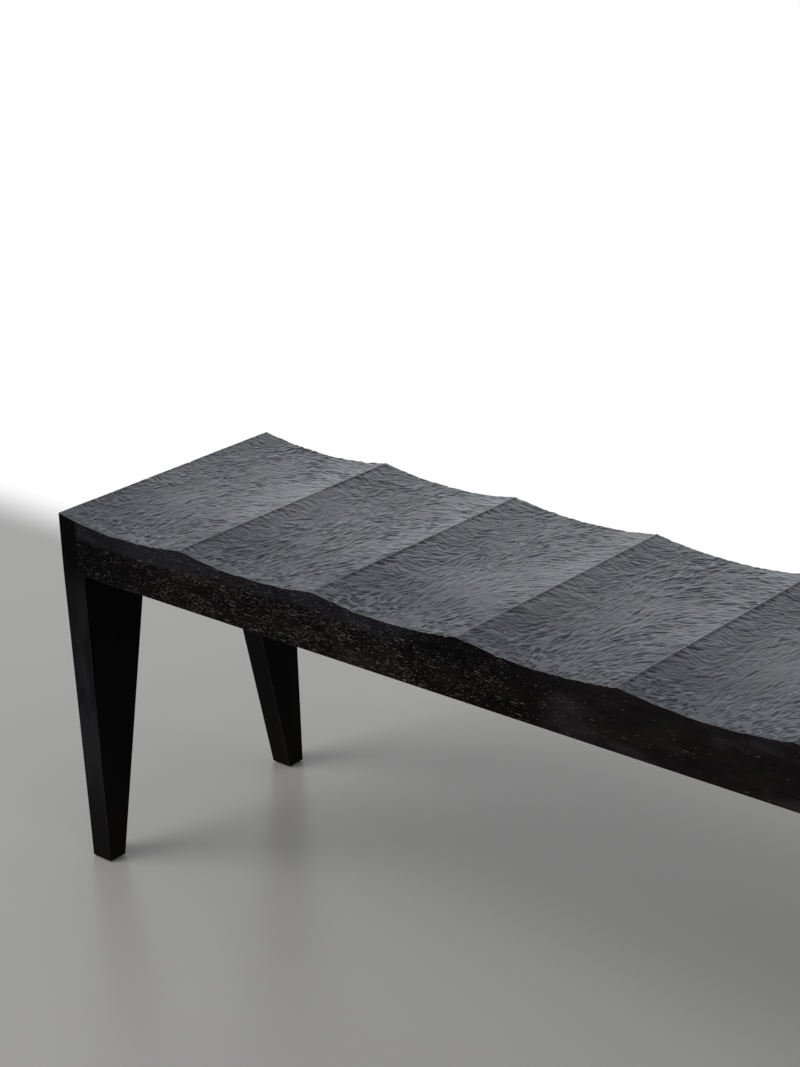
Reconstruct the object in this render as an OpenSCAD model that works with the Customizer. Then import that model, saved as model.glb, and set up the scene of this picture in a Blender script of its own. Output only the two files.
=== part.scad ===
// Long wooden bench whose top is scooped into one shallow seat after another.
// Four blade-like legs stand at the corners, and the long rails are let into them.
// X runs along the bench, Y from front to back, Z up from the floor.

/* [Seat] */
// Number of scooped places along the bench
bay_count = 8; // [4:1:10]
// Length of one scooped place, from ridge to ridge
bay_pitch = 200; // [160:5:260]
// Depth of a scoop below its ridges
scoop_depth = 9; // [4:0.5:12]
// Width of the flat left along the crest of a ridge
ridge_flat = 1.5; // [0.5:0.1:4]
// Width of the bench from front to back
bench_w = 350; // [300:5:450]
// Height of the ridges above the floor
bench_h = 450; // [400:5:520]
// Thickness of the seat boards under a ridge
board_t = 30; // [26:1:34]

/* [Rails] */
// Height of the rails under a ridge
rail_h = 72; // [66:1:100]
// Thickness of the long rails
rail_t = 38; // [32:1:45]
// Thickness of the end rails
end_rail_t = 33; // [28:1:35]
// Width of the rim that the rails show around the seat boards
rim_w = 18; // [12:1:22]

/* [Legs] */
// Thickness of a leg along the bench, under the rail
leg_t = 35; // [32:1:50]
// Width of a leg across the bench, under the rail
leg_w = 100; // [90:1:130]
// Thickness of a foot along the bench
foot_t = 30; // [26:1:32]
// Width of a foot across the bench
foot_w = 25; // [22:1:60]
// Distance that a foot stands back from the long face of the bench
foot_setback = 3; // [0:0.5:10]

/* [Joints] */
// Depth that the long rails are let into the legs
housing = 8; // [4:1:12]
// Thickness of the tenons
tenon_t = 12; // [8:1:14]
// Shoulder above and below a tenon
tenon_shoulder = 6; // [4:1:9]
// Wood left between a long rail's mortise and the end of the bench
mortise_wall = 7; // [4:1:10]
// Length of the end rails' tenons
end_tenon_l = 20; // [12:1:24]
// Clearance on each side of a tenon, bearer or spline in its recess
joint_gap = 0.15; // [0.05:0.05:0.3]
// Gap left at the bottom of a mortise or groove
end_gap = 0.8; // [0.3:0.1:2]

/* [Splines and bearers] */
// Thickness of the splines between the seat boards
spline_t = 6; // [4:1:8]
// Width of the splines
spline_w = 20; // [14:1:30]
// Height of a spline's middle above the underside of the boards
spline_lift = 10; // [8:1:12]
// Distance that a spline stops short of the legs
spline_stop = 40; // [20:5:80]
// Width of a bearer along the bench
bearer_w = 40; // [30:1:60]
// Height of a bearer
bearer_h = 30; // [24:1:34]
// Depth that the bearers are let into the long rails
bearer_housing = 10; // [5:1:16]

/* [Corner blocks] */
// Length of a corner block along the rail and along the leg
block_l = 44; // [38:1:50]
// Thickness of a corner block at its two ends
block_end = 12; // [8:1:16]
// Distance of a corner block above the underside of the rails
block_lift = 6; // [2:1:12]
// Wood left in a corner block under a screw's head
block_web = 8; // [6:1:11]
// Distance from a corner block's end to its sideways screws
block_edge = 10; // [7:1:12]
// Distance of a corner block's upright screw from the rail and from the leg
block_seat_at = 15; // [10:1:18]

/* [Hardware] */
// Shank diameter of the wood screws
screw_d = 4.5; // [3.5:0.1:5]
// Head diameter of the wood screws
screw_head_d = 9; // [7.5:0.5:10]
// Height of a screw's countersunk head
screw_head_h = 3; // [2:0.5:4]
// Depth that the sideways screws go into a rail or leg
side_bite = 12; // [8:1:14]
// Depth that the upright screws go into the seat boards
seat_bite = 13; // [8:1:15]
// Extra width of the counterbore that takes a screw's head
bore_ease = 1; // [0.5:0.5:2]
// Diameter of a glide
glide_d = 18; // [14:1:20]
// Thickness of a glide
glide_t = 4; // [3:0.5:6]
// Height that a glide holds its foot off the floor
glide_stand = 1.5; // [1:0.1:2.5]
// Chamfer around the bottom of a glide
glide_chamfer = 0.6; // [0.2:0.1:0.9]
// Shank diameter of a glide's nail
nail_d = 3; // [2:0.1:4]
// Length of a glide's nail
nail_l = 22; // [14:1:40]
// Head diameter of a glide's nail
nail_head_d = 7; // [5:0.5:9]
// Thickness of a nail's head
nail_head_h = 1; // [0.6:0.1:1.2]
// Depth that a nail's head is sunk into its glide
nail_sink = 1.6; // [1.3:0.1:2]
// Clearance around a screw, nail or glide in its hole
hole_gap = 0.1; // [0.05:0.05:0.2]

/* [Hidden] */
$fn = 48;

left = -1;
right = 1;
front = -1;
back = 1;

bench_l = bay_count * bay_pitch;
rail_z = bench_h - rail_h;
ledge_z = bench_h - board_t;

scoop_chord = bay_pitch - ridge_flat;
scoop_r = (scoop_chord * scoop_chord / 4 + scoop_depth * scoop_depth) / (2 * scoop_depth);
scoop_sides = 720;
// How far a cut runs past the face that it opens
through = 1;

rail_l = bench_l - 2 * (leg_t - housing);
long_tenon_l = leg_t - housing - mortise_wall - end_gap;
tenon_h = rail_h - board_t - 2 * tenon_shoulder;
end_rail_l = bench_w - 2 * leg_w;

outer_board_l = bench_l - 2 * leg_t;
outer_board_w = leg_w - rim_w;
inner_board_l = bench_l - 2 * rim_w;
inner_board_w = bench_w / 2 - leg_w;
outer_board_y = -inner_board_w - outer_board_w / 2;
inner_board_y = -inner_board_w / 2;
spline_l = outer_board_l - 2 * spline_stop;

bearer_l = bench_w - 2 * (rail_t - bearer_housing);
bearer_pitch = bench_l / 4;
block_h = rail_h - board_t - block_lift;
block_z = rail_z + block_lift;
block_screw_at = block_l - block_edge;

wood = "#232224";
seat_wood = "#3a3b3e";
inner_wood = "#1b1a1b";
spline_wood = "#6b5138";
steel = "#b9bcc0";
nylon = "#17181a";

// Places what is drawn for a bench corner, whose own origin is the corner itself,
// with X and Y running inwards.
module at_corner(side_x, side_y) {
    translate([side_x * bench_l / 2, side_y * bench_w / 2, 0])
        mirror([side_x == right ? 1 : 0, 0, 0])
            mirror([0, side_y == back ? 1 : 0, 0])
                children();
}

// Turns what is drawn for the front half over to the back half.
module on_side(side_y) {
    mirror([0, side_y == back ? 1 : 0, 0])
        children();
}

module at_every_corner() {
    for (side_x = [left, right], side_y = [front, back])
        at_corner(side_x, side_y)
            children();
}

module at_every_bearer() {
    for (place = [-1, 0, 1])
        translate([place * bearer_pitch, 0, 0])
            children();
}

// Cuts the row of scoops out of what is drawn, one shallow cylinder per place.
module scooped() {
    difference() {
        children();
        for (bay = [0 : bay_count - 1])
            translate([(bay + 0.5) * bay_pitch - bench_l / 2, 0, ledge_z + board_t - scoop_depth + scoop_r])
                rotate([90, 0, 0])
                    cylinder(h = bench_w + 2 * through, r = scoop_r, center = true, $fn = scoop_sides);
    }
}

// Box from a low corner, widened on both sides by the clearance given for each axis.
module widened_box(place, size, gap) {
    translate(place - gap)
        cube(size + 2 * gap);
}

// Countersunk wood screw that points up, with the top of its head at the origin.
module screw(length, gap = 0) {
    cylinder(h = screw_head_h, d1 = screw_head_d + 2 * gap, d2 = screw_d + 2 * gap);
    cylinder(h = length + gap, d = screw_d + 2 * gap);
}

// Hole for that screw, open below its head.
module screw_hole(length) {
    screw(length, hole_gap);
    translate([0, 0, -through])
        cylinder(h = through, d = screw_head_d + 2 * hole_gap);
}

// Tenons in a bench corner's own frame, or their mortises when given clearances.
module long_tenon(gap = 0, end = 0) {
    widened_box(
        [mortise_wall + end_gap - end, (rail_t - tenon_t) / 2, rail_z + tenon_shoulder],
        [long_tenon_l + end + housing, tenon_t, tenon_h],
        [0, gap, gap]
    );
}

module end_tenon(gap = 0, end = 0) {
    widened_box(
        [(end_rail_t - tenon_t) / 2, leg_w - end_tenon_l - end, rail_z + tenon_shoulder],
        [tenon_t, end_tenon_l + end + rim_w, tenon_h],
        [gap, 0, gap]
    );
}

// Screws of a corner block in a bench corner's own frame.
module place_rail_screw() {
    translate([leg_t + block_screw_at, rail_t + block_web, block_z + block_h / 2])
        rotate([90, 0, 0])
            children();
}

module place_leg_screw() {
    translate([leg_t + block_web, rail_t + block_screw_at, block_z + block_h / 2])
        rotate([0, -90, 0])
            children();
}

module place_block_seat_screw() {
    translate([leg_t + block_seat_at, rail_t + block_seat_at, block_z])
        children();
}

// Screws up through the bearers, one in the middle of each seat board.
module place_bearer_screws(board_y) {
    at_every_bearer()
        translate([0, board_y, ledge_z - bearer_h])
            children();
}

module place_glide() {
    translate([leg_t - foot_t / 2, foot_setback + foot_w / 2, 0])
        children();
}

// Leg seen from the front: plumb inside, with its outer face drawn in towards the foot.
module leg_front_profile() {
    polygon([
        [leg_t - foot_t, glide_stand],
        [leg_t, glide_stand],
        [leg_t, bench_h],
        [0, bench_h],
        [0, rail_z],
    ]);
}

// Leg seen from the end: a wide blade under the rail, tapering to a narrow foot.
module leg_end_profile() {
    polygon([
        [foot_setback, glide_stand],
        [foot_setback + foot_w, glide_stand],
        [leg_w, rail_z],
        [leg_w, bench_h],
        [0, bench_h],
        [0, rail_z],
    ]);
}

module leg_blank() {
    intersection() {
        translate([0, leg_w, 0])
            rotate([90, 0, 0])
                linear_extrude(leg_w)
                    leg_front_profile();
        rotate([90, 0, 90])
            linear_extrude(leg_t)
                leg_end_profile();
    }
}

// Recess for the end of a long rail: the whole rail under its ledge, the rim above.
module rail_housing() {
    translate([0, -through, rail_z])
        cube([housing + through, rail_t + through, rail_h - board_t]);
    translate([0, -through, ledge_z - through])
        cube([housing + through, rim_w + through, board_t + 2 * through]);
}

module leg(side_x, side_y) {
    color(wood)
        scooped()
            at_corner(side_x, side_y)
                difference() {
                    leg_blank();
                    translate([leg_t - housing, 0, 0])
                        rail_housing();
                    long_tenon(joint_gap, end_gap);
                    end_tenon(joint_gap, end_gap);
                    place_leg_screw()
                        screw_hole(block_web + side_bite);
                    place_glide() {
                        cylinder(h = glide_t, d = glide_d + 2 * hole_gap);
                        cylinder(h = nail_sink + nail_l + hole_gap, d = nail_d + 2 * hole_gap);
                    }
                }
}

module long_rail(side_y) {
    color(wood)
        scooped()
            on_side(side_y)
                difference() {
                    union() {
                        translate([-rail_l / 2, -bench_w / 2, rail_z])
                            cube([rail_l, rail_t, rail_h]);
                        for (side_x = [left, right])
                            at_corner(side_x, front)
                                long_tenon();
                    }
                    translate([-rail_l / 2 - through, -bench_w / 2 + rim_w, ledge_z])
                        cube([rail_l + 2 * through, rail_t, board_t + through]);
                    at_every_bearer()
                        bearer_blank([joint_gap, joint_gap, 0]);
                    for (side_x = [left, right])
                        at_corner(side_x, front)
                            place_rail_screw()
                                screw_hole(block_web + side_bite);
                }
}

module end_rail(side_x) {
    color(wood)
        scooped()
            at_corner(side_x, front)
                difference() {
                    union() {
                        translate([0, leg_w, rail_z])
                            cube([end_rail_t, end_rail_l, rail_h]);
                        end_tenon();
                        translate([0, bench_w, 0])
                            mirror([0, 1, 0])
                                end_tenon();
                    }
                    translate([rim_w, leg_w - through, ledge_z])
                        cube([end_rail_t, end_rail_l + 2 * through, board_t + through]);
                }
}

// Groove or spline between two seat boards, at the edge they share.
module spline_blank(edge_y, gap = 0, end = 0) {
    widened_box(
        [-spline_l / 2, edge_y - spline_w / 2, ledge_z + spline_lift - spline_t / 2],
        [spline_l, spline_w, spline_t],
        [gap, end, gap]
    );
}

module outer_seat_board(side_y) {
    color(seat_wood)
        scooped()
            on_side(side_y)
                difference() {
                    translate([-outer_board_l / 2, -bench_w / 2 + rim_w, ledge_z])
                        cube([outer_board_l, outer_board_w, board_t]);
                    spline_blank(-inner_board_w, joint_gap, end_gap);
                    place_bearer_screws(outer_board_y)
                        screw_hole(bearer_h + seat_bite);
                    for (side_x = [left, right])
                        at_corner(side_x, front)
                            place_block_seat_screw()
                                screw_hole(block_h + seat_bite);
                }
}

module inner_seat_board(side_y) {
    color(seat_wood)
        scooped()
            on_side(side_y)
                difference() {
                    translate([-inner_board_l / 2, -inner_board_w, ledge_z])
                        cube([inner_board_l, inner_board_w, board_t]);
                    spline_blank(-inner_board_w, joint_gap, end_gap);
                    spline_blank(0, joint_gap, end_gap);
                    place_bearer_screws(inner_board_y)
                        screw_hole(bearer_h + seat_bite);
                }
}

module spline(edge_y) {
    color(spline_wood)
        spline_blank(edge_y);
}

module bearer_blank(gap = [0, 0, 0]) {
    widened_box(
        [-bearer_w / 2, -bearer_l / 2, ledge_z - bearer_h],
        [bearer_w, bearer_l, bearer_h],
        gap
    );
}

module bearer(place) {
    color(inner_wood)
        difference() {
            translate([place * bearer_pitch, 0, 0])
                bearer_blank();
            for (side_y = [front, back], board_y = [outer_board_y, inner_board_y])
                on_side(side_y)
                    place_bearer_screws(board_y)
                        screw_hole(bearer_h + seat_bite);
        }
}

module corner_block(side_x, side_y) {
    color(inner_wood)
        at_corner(side_x, side_y)
            difference() {
                translate([leg_t, rail_t, block_z])
                    linear_extrude(block_h)
                        polygon([
                            [0, 0],
                            [block_l, 0],
                            [block_l, block_end],
                            [block_end, block_l],
                            [0, block_l],
                        ]);
                place_rail_screw()
                    counterbored_hole();
                place_leg_screw()
                    counterbored_hole();
                place_block_seat_screw()
                    screw_hole(block_h + seat_bite);
            }
}

module counterbored_hole() {
    screw_hole(block_web + side_bite);
    translate([0, 0, -block_l])
        cylinder(h = block_l, d = screw_head_d + bore_ease);
}

module glide(side_x, side_y) {
    color(nylon)
        at_corner(side_x, side_y)
            place_glide()
                rotate_extrude()
                    polygon([
                        [nail_head_d / 2 + hole_gap, 0],
                        [glide_d / 2 - glide_chamfer, 0],
                        [glide_d / 2, glide_chamfer],
                        [glide_d / 2, glide_t],
                        [nail_d / 2 + hole_gap, glide_t],
                        [nail_d / 2 + hole_gap, nail_sink],
                        [nail_head_d / 2 + hole_gap, nail_sink],
                    ]);
}

module glide_nails() {
    color(steel)
        at_every_corner()
            place_glide()
                translate([0, 0, nail_sink - nail_head_h]) {
                    cylinder(h = nail_head_h, d = nail_head_d);
                    cylinder(h = nail_head_h + nail_l, d = nail_d);
                }
}

module block_rail_screws() {
    color(steel)
        at_every_corner()
            place_rail_screw()
                screw(block_web + side_bite);
}

module block_leg_screws() {
    color(steel)
        at_every_corner()
            place_leg_screw()
                screw(block_web + side_bite);
}

module block_seat_screws() {
    color(steel)
        at_every_corner()
            place_block_seat_screw()
                screw(block_h + seat_bite);
}

module bearer_screws() {
    color(steel)
        for (side_y = [front, back], board_y = [outer_board_y, inner_board_y])
            on_side(side_y)
                place_bearer_screws(board_y)
                    screw(bearer_h + seat_bite);
}

leg(left, front);  // leg_front_left
leg(right, front);  // leg_front_right
leg(left, back);  // leg_back_left
leg(right, back);  // leg_back_right
long_rail(front);  // front_rail
long_rail(back);  // back_rail
end_rail(left);  // end_rail_left
end_rail(right);  // end_rail_right
outer_seat_board(front);  // seat_board_front
inner_seat_board(front);  // seat_board_front_middle
inner_seat_board(back);  // seat_board_back_middle
outer_seat_board(back);  // seat_board_back
spline(-inner_board_w);  // spline_front
spline(0);  // spline_middle
spline(inner_board_w);  // spline_back
bearer(-1);  // bearer_left
bearer(0);  // bearer_middle
bearer(1);  // bearer_right
corner_block(left, front);  // corner_block_front_left
corner_block(right, front);  // corner_block_front_right
corner_block(left, back);  // corner_block_back_left
corner_block(right, back);  // corner_block_back_right
glide(left, front);  // glide_front_left
glide(right, front);  // glide_front_right
glide(left, back);  // glide_back_left
glide(right, back);  // glide_back_right
block_rail_screws();
block_leg_screws();
block_seat_screws();
bearer_screws();
glide_nails();
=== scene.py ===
"""Long wooden bench, carved into a row of shallow seats: its visual model, camera and studio.

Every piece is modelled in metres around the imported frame: X runs along the bench, Y from front to back
and Z up from the floor.
"""
import logging
import math
from contextlib import contextmanager
from dataclasses import dataclass, field, replace
from enum import Enum
from typing import Callable, Iterator, Optional, Sequence

import bmesh
import bpy
import numpy as np
from mathutils import Matrix, Vector


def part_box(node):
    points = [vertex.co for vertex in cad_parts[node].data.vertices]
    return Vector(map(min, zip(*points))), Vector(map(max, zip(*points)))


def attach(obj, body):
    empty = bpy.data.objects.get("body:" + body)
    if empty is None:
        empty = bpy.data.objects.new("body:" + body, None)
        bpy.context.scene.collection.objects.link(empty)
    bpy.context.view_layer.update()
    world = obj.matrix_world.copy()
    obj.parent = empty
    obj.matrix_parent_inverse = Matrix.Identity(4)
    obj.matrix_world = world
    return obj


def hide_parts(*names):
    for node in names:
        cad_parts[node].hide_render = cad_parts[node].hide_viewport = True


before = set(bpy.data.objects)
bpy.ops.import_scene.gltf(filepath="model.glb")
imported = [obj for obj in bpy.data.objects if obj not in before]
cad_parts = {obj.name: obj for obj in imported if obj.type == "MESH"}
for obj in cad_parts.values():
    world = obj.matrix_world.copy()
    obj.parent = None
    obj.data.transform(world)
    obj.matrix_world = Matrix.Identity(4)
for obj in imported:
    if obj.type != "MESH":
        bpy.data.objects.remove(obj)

LOG = logging.getLogger("bench")
MM = 0.001
TOUCH = 0.1 * MM
BODY = "root"
ALONG = 0.9
ARRIS_FLATS = 2
ROD_SIDES = 24
WOOD_CREASE = 40.0
HARDWARE_CREASE = 35.0

Point = tuple[float, float, float]
Colour = tuple[float, float, float]
Test = Callable[[Vector, Vector], bool]
Shape = Callable[[np.ndarray, np.ndarray], np.ndarray]

UPWARDS: Point = (0, 0, 1)
TO_FRONT: Point = (0, -1, 0)
TO_LEFT: Point = (-1, 0, 0)


class Named(Enum):
    """Choice whose name stands in the names of pieces, nodes and finishes."""

    @property
    def word(self) -> str:
        """Its name in small letters."""
        return self.name.lower()


class End(Named):
    """The two ends of the bench, by the sign of X."""

    LEFT = -1
    RIGHT = 1


class Flank(Named):
    """The two long sides of the bench, by the sign of Y."""

    FRONT = -1
    BACK = 1


class Bearer(Named):
    """The three bearers, by the sign of X."""

    LEFT = -1
    MIDDLE = 0
    RIGHT = 1

    @property
    def node(self) -> str:
        """Its CAD node."""
        return f"bearer_{self.word}"

    @property
    def middle(self) -> float:
        """Its place along the bench."""
        return sum(corner.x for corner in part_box(self.node)) / 2


class Grain(Named):
    """Axis that the fibres of a piece of wood run along, as the turn that brings it to X."""

    ALONG_X = (0.0, 0.0, 0.0)
    ALONG_Y = (0.0, 0.0, math.pi / 2)
    ALONG_Z = (0.0, math.pi / 2, 0.0)


class Slot(Enum):
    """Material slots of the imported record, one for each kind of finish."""

    LEG = "leg_wood"
    RAIL = "rail_wood"
    SEAT = "seat_wood"
    INNER = "inner_wood"
    GLIDE = "glide_plastic"
    STEEL = "steel"


class Skin(Enum):
    """Places in the material list of a wooden piece: faces, eased edges, cuts, carving, painted shade on
    faces that look inwards.
    """

    FACE = 0
    ARRIS = 1
    INNER = 2
    CARVED = 3
    # Painted shade: the faces of a leg that look inwards.
    DEEP = 4


@dataclass(frozen=True)
class Corner:
    """One corner of the bench."""

    end: End = End.LEFT
    flank: Flank = Flank.FRONT

    @property
    def word(self) -> str:
        """Its name as it stands in the names of pieces and nodes."""
        return f"{self.flank.word}_{self.end.word}"


CORNERS = tuple(Corner(end, flank) for flank in Flank for end in End)


def smooth_step(value: np.ndarray) -> np.ndarray:
    """Eases a value from 0 to 1."""
    value = np.clip(value, 0, 1)
    return value * value * (3 - 2 * value)


def local_mean(net: np.ndarray, reach: int) -> np.ndarray:
    """Averages a net over a square of lines round each of its points.

    Args:
        net: The values.
        reach: Number of lines to each side.

    Returns:
        The averages, on the same net.
    """
    width = 2 * reach + 1
    for _ in range(2):
        total = np.cumsum(np.pad(net, ((reach + 1, reach), (0, 0)), mode="edge"), axis=0)
        net = ((total[width:] - total[:-width]) / width).T
    return net


def deselect_all() -> None:
    """Leaves nothing selected, so that an operator acts on its own piece alone."""
    if bpy.context.mode != "OBJECT":
        bpy.ops.object.mode_set(mode="OBJECT")
    bpy.ops.object.select_all(action="DESELECT")


def make_active(*pieces: bpy.types.Object) -> None:
    """Selects pieces and makes the first the active one.

    Args:
        pieces: The pieces.
    """
    deselect_all()
    for piece in pieces:
        piece.select_set(True)
    bpy.context.view_layer.objects.active = pieces[0]


@contextmanager
def editing(piece: bpy.types.Object, mode: str = "EDGE", everything: bool = False) -> Iterator[None]:
    """Opens a piece in edit mode.

    Args:
        piece: The mesh to work on.
        mode: VERT, EDGE or FACE.
        everything: Starts with all of it selected, and not with nothing.
    """
    make_active(piece)
    bpy.ops.object.mode_set(mode="EDIT")
    bpy.ops.mesh.select_mode(type=mode)
    bpy.ops.mesh.select_all(action="SELECT" if everything else "DESELECT")
    yield
    bpy.ops.object.mode_set(mode="OBJECT")


def pick(piece: bpy.types.Object, kind: str, test: Test) -> bool:
    """Selects points or edges in edit mode by their place and direction.

    Args:
        piece: The mesh in edit mode.
        kind: verts or edges.
        test: Takes a point and its normal, or an edge's middle and direction, and says if it is meant.

    Returns:
        Whether any were picked.
    """
    bpy.ops.mesh.select_all(action="DESELECT")
    mesh, found = bmesh.from_edit_mesh(piece.data), False
    for part in getattr(mesh, kind):
        if kind == "verts":
            place, way = part.co, part.normal
        else:
            low, high = (vert.co for vert in part.verts)
            place, way = (low + high) / 2, (high - low).normalized()
        if test(place, way):
            part.select_set(True)
            found = True
    mesh.select_flush_mode()
    bmesh.update_edit_mesh(piece.data)
    return found


def face_outwards() -> None:
    """Turns all faces of the piece in edit mode outwards."""
    bpy.ops.mesh.select_all(action="SELECT")
    bpy.ops.mesh.normals_make_consistent(inside=False)


def settle(name: str) -> bpy.types.Object:
    """Names the active object and puts its place, turn and scale into its mesh.

    Args:
        name: The object's name.

    Returns:
        The object.
    """
    piece = bpy.context.view_layer.objects.active
    piece.name = piece.data.name = name
    bpy.ops.object.transform_apply(location=True, rotation=True, scale=True)
    return piece


def add_block(name: str, low: Sequence[float], high: Sequence[float]) -> bpy.types.Object:
    """Adds a rectangular blank between two corners.

    Args:
        name: The new object's name.
        low: Lowest corner.
        high: Highest corner.

    Returns:
        The block, with its place in its mesh.
    """
    deselect_all()
    low, high = Vector(low), Vector(high)
    bpy.ops.mesh.primitive_cube_add(size=1, location=(low + high) / 2, scale=high - low)
    return settle(name)


def add_rod(
    name: str, foot: Point, axis: Point, length: float, radii: tuple[float, float]
) -> bpy.types.Object:
    """Adds a closed round rod or cone that starts at a point and runs along an axis.

    Args:
        name: The new object's name.
        foot: Centre of the first end.
        axis: Unit direction from the first end to the second.
        length: Length of the rod.
        radii: Radius at the first and at the second end.

    Returns:
        The rod, with its place in its mesh.
    """
    deselect_all()
    turn = Vector(UPWARDS).rotation_difference(Vector(axis))
    bpy.ops.mesh.primitive_cone_add(
        vertices=ROD_SIDES, radius1=radii[0], radius2=radii[1], depth=length,
        location=Vector(foot) + Vector(axis) * length / 2, rotation=turn.to_euler(),
    )
    return settle(name)


def copy_of(piece: bpy.types.Object, name: str) -> bpy.types.Object:
    """Copies a piece with its own mesh.

    Args:
        piece: The piece.
        name: The copy's name.

    Returns:
        The copy.
    """
    twin = piece.copy()
    twin.data = piece.data.copy()
    twin.name = twin.data.name = name
    bpy.context.scene.collection.objects.link(twin)
    return twin


def mirrored(piece: bpy.types.Object, name: str, corner: Corner) -> bpy.types.Object:
    """Copies a piece of the front left corner to a corner, turned the right way out.

    Args:
        piece: The piece.
        name: The copy's name.
        corner: Where the copy goes.

    Returns:
        The copy.
    """
    twin = copy_of(piece, name)
    twin.data.transform(Matrix.Diagonal((-corner.end.value, -corner.flank.value, 1, 1)))
    if corner.end.value != corner.flank.value:
        with editing(twin, "FACE", everything=True):
            bpy.ops.mesh.flip_normals()
    return twin


def discard(*blanks: bpy.types.Object) -> None:
    """Removes pieces that have been copied to their places or cut with.

    Args:
        blanks: The pieces.
    """
    for blank in blanks:
        mesh = blank.data
        bpy.data.objects.remove(blank)
        bpy.data.meshes.remove(mesh)


def combine(
    target: bpy.types.Object, tools: Sequence[bpy.types.Object], operation: str = "DIFFERENCE"
) -> None:
    """Cuts solids out of a piece, or joins them to it, and removes them.

    Args:
        target: The piece that is worked on.
        tools: Closed solids.
        operation: DIFFERENCE or UNION.
    """
    for tool in tools:
        make_active(target)
        cut = target.modifiers.new(tool.name, "BOOLEAN")
        cut.operation, cut.solver, cut.object = operation, "MANIFOLD", tool
        bpy.ops.object.modifier_apply(modifier=cut.name)
        discard(tool)


def ease(piece: bpy.types.Object, width: float, test: Test) -> None:
    """Rounds the picked edges over, as a block of abrasive paper does.

    Args:
        piece: The mesh to work on.
        width: Width of the rounding.
        test: Picks the edges by middle and direction.
    """
    with editing(piece):
        if not pick(piece, "edges", test):
            raise ValueError(f"{piece.name}: no edge to ease")
        bpy.ops.mesh.bevel(
            offset=width, segments=ARRIS_FLATS, affect="EDGES", material=Skin.ARRIS.value, clamp_overlap=True
        )


def paint_faces(piece: bpy.types.Object, skin: Skin, test: Test) -> None:
    """Gives the picked flat faces another place in the piece's material list.

    Args:
        piece: The mesh to work on.
        skin: Their new place.
        test: Picks the faces by middle and normal.
    """
    for polygon in piece.data.polygons:
        if polygon.material_index == Skin.FACE.value and test(polygon.center, polygon.normal):
            polygon.material_index = skin.value


def paint_all(piece: bpy.types.Object, skin: Skin) -> bpy.types.Object:
    """Gives all faces of a cutting tool one place in the material list of the piece that it cuts.

    Args:
        piece: The tool.
        skin: The place.

    Returns:
        The tool.
    """
    for polygon in piece.data.polygons:
        polygon.material_index = skin.value
    return piece


def wear_skins(piece: bpy.types.Object, skins: Sequence[bpy.types.Material]) -> None:
    """Puts materials on a piece, first in the empty places that a cut with a plain tool leaves.

    Args:
        piece: The piece.
        skins: The materials, in the order of their places.
    """
    worn = piece.data.materials
    for place, material in enumerate(skins):
        if place < len(worn):
            worn[place] = material
        else:
            worn.append(material)


def shade_smooth(piece: bpy.types.Object, crease: float) -> None:
    """Shades a piece smooth, apart from edges sharper than so many degrees."""
    make_active(piece)
    bpy.ops.object.shade_smooth_by_angle(angle=math.radians(crease))


def shade_by_skin(piece: bpy.types.Object) -> None:
    """Shades the rounded and carved faces smooth and keeps the planed ones flat.

    Args:
        piece: The wooden piece.
    """
    shade_smooth(piece, WOOD_CREASE)
    for polygon in piece.data.polygons:
        polygon.use_smooth = polygon.material_index in (Skin.ARRIS.value, Skin.CARVED.value)
    piece.data.update()


def hand_over(piece: bpy.types.Object, node: str) -> None:
    """Puts a finished piece on the bench in place of its CAD node, and reports it.

    Args:
        piece: The piece.
        node: The node that it stands for.
    """
    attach(piece, BODY)
    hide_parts(node)
    LOG.info("%s stands for %s, %d faces", piece.name, node, len(piece.data.polygons))


@dataclass(frozen=True)
class Joinery:
    """Sizes of the joints that no node's box gives."""

    housing: float = 8 * MM
    tenon: float = 12 * MM
    shoulder: float = 6 * MM
    mortise_wall: float = 7 * MM
    end_tenon: float = 20 * MM
    gap: float = 0.15 * MM
    end_gap: float = 0.8 * MM
    hole_gap: float = 0.1 * MM
    through: float = 2 * MM
    overlap: float = 0.01 * MM


@dataclass(frozen=True)
class Plan:
    """Main planes of the bench, read from the boxes of the CAD nodes."""

    half_length: float
    half_width: float
    top: float
    rail_foot: float
    ledge: float
    leg_thick: float
    leg_wide: float
    leg_foot: float
    rail_thick: float
    end_rail_thick: float
    rim: float

    @classmethod
    def from_frame(cls) -> "Plan":
        """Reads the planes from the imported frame.

        Returns:
            The plan.
        """
        leg_low, leg_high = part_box("leg_front_left")
        rail_low, rail_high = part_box("front_rail")
        board_low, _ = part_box("seat_board_front")
        return cls(
            half_length=-leg_low.x,
            half_width=-leg_low.y,
            top=leg_high.z,
            rail_foot=rail_low.z,
            ledge=board_low.z,
            leg_thick=leg_high.x - leg_low.x,
            leg_wide=leg_high.y - leg_low.y,
            leg_foot=leg_low.z,
            rail_thick=rail_high.y - rail_low.y,
            end_rail_thick=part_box("end_rail_left")[1].x - leg_low.x,
            rim=board_low.y - rail_low.y,
        )

    def inwards(self, *place: float) -> Point:
        """Turns sizes inwards from the front left corner into a place on the bench."""
        return tuple(Vector(place) + Vector((-self.half_length, -self.half_width, 0)))

    def board_middles(self) -> list[float]:
        """Reads where the four boards lie.

        Returns:
            Their middles across the bench, from front to back.
        """
        outer, inner = (
            sum(corner.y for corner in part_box(node)) / 2
            for node in ("seat_board_front", "seat_board_front_middle")
        )
        return [outer, inner, -inner, -outer]


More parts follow.
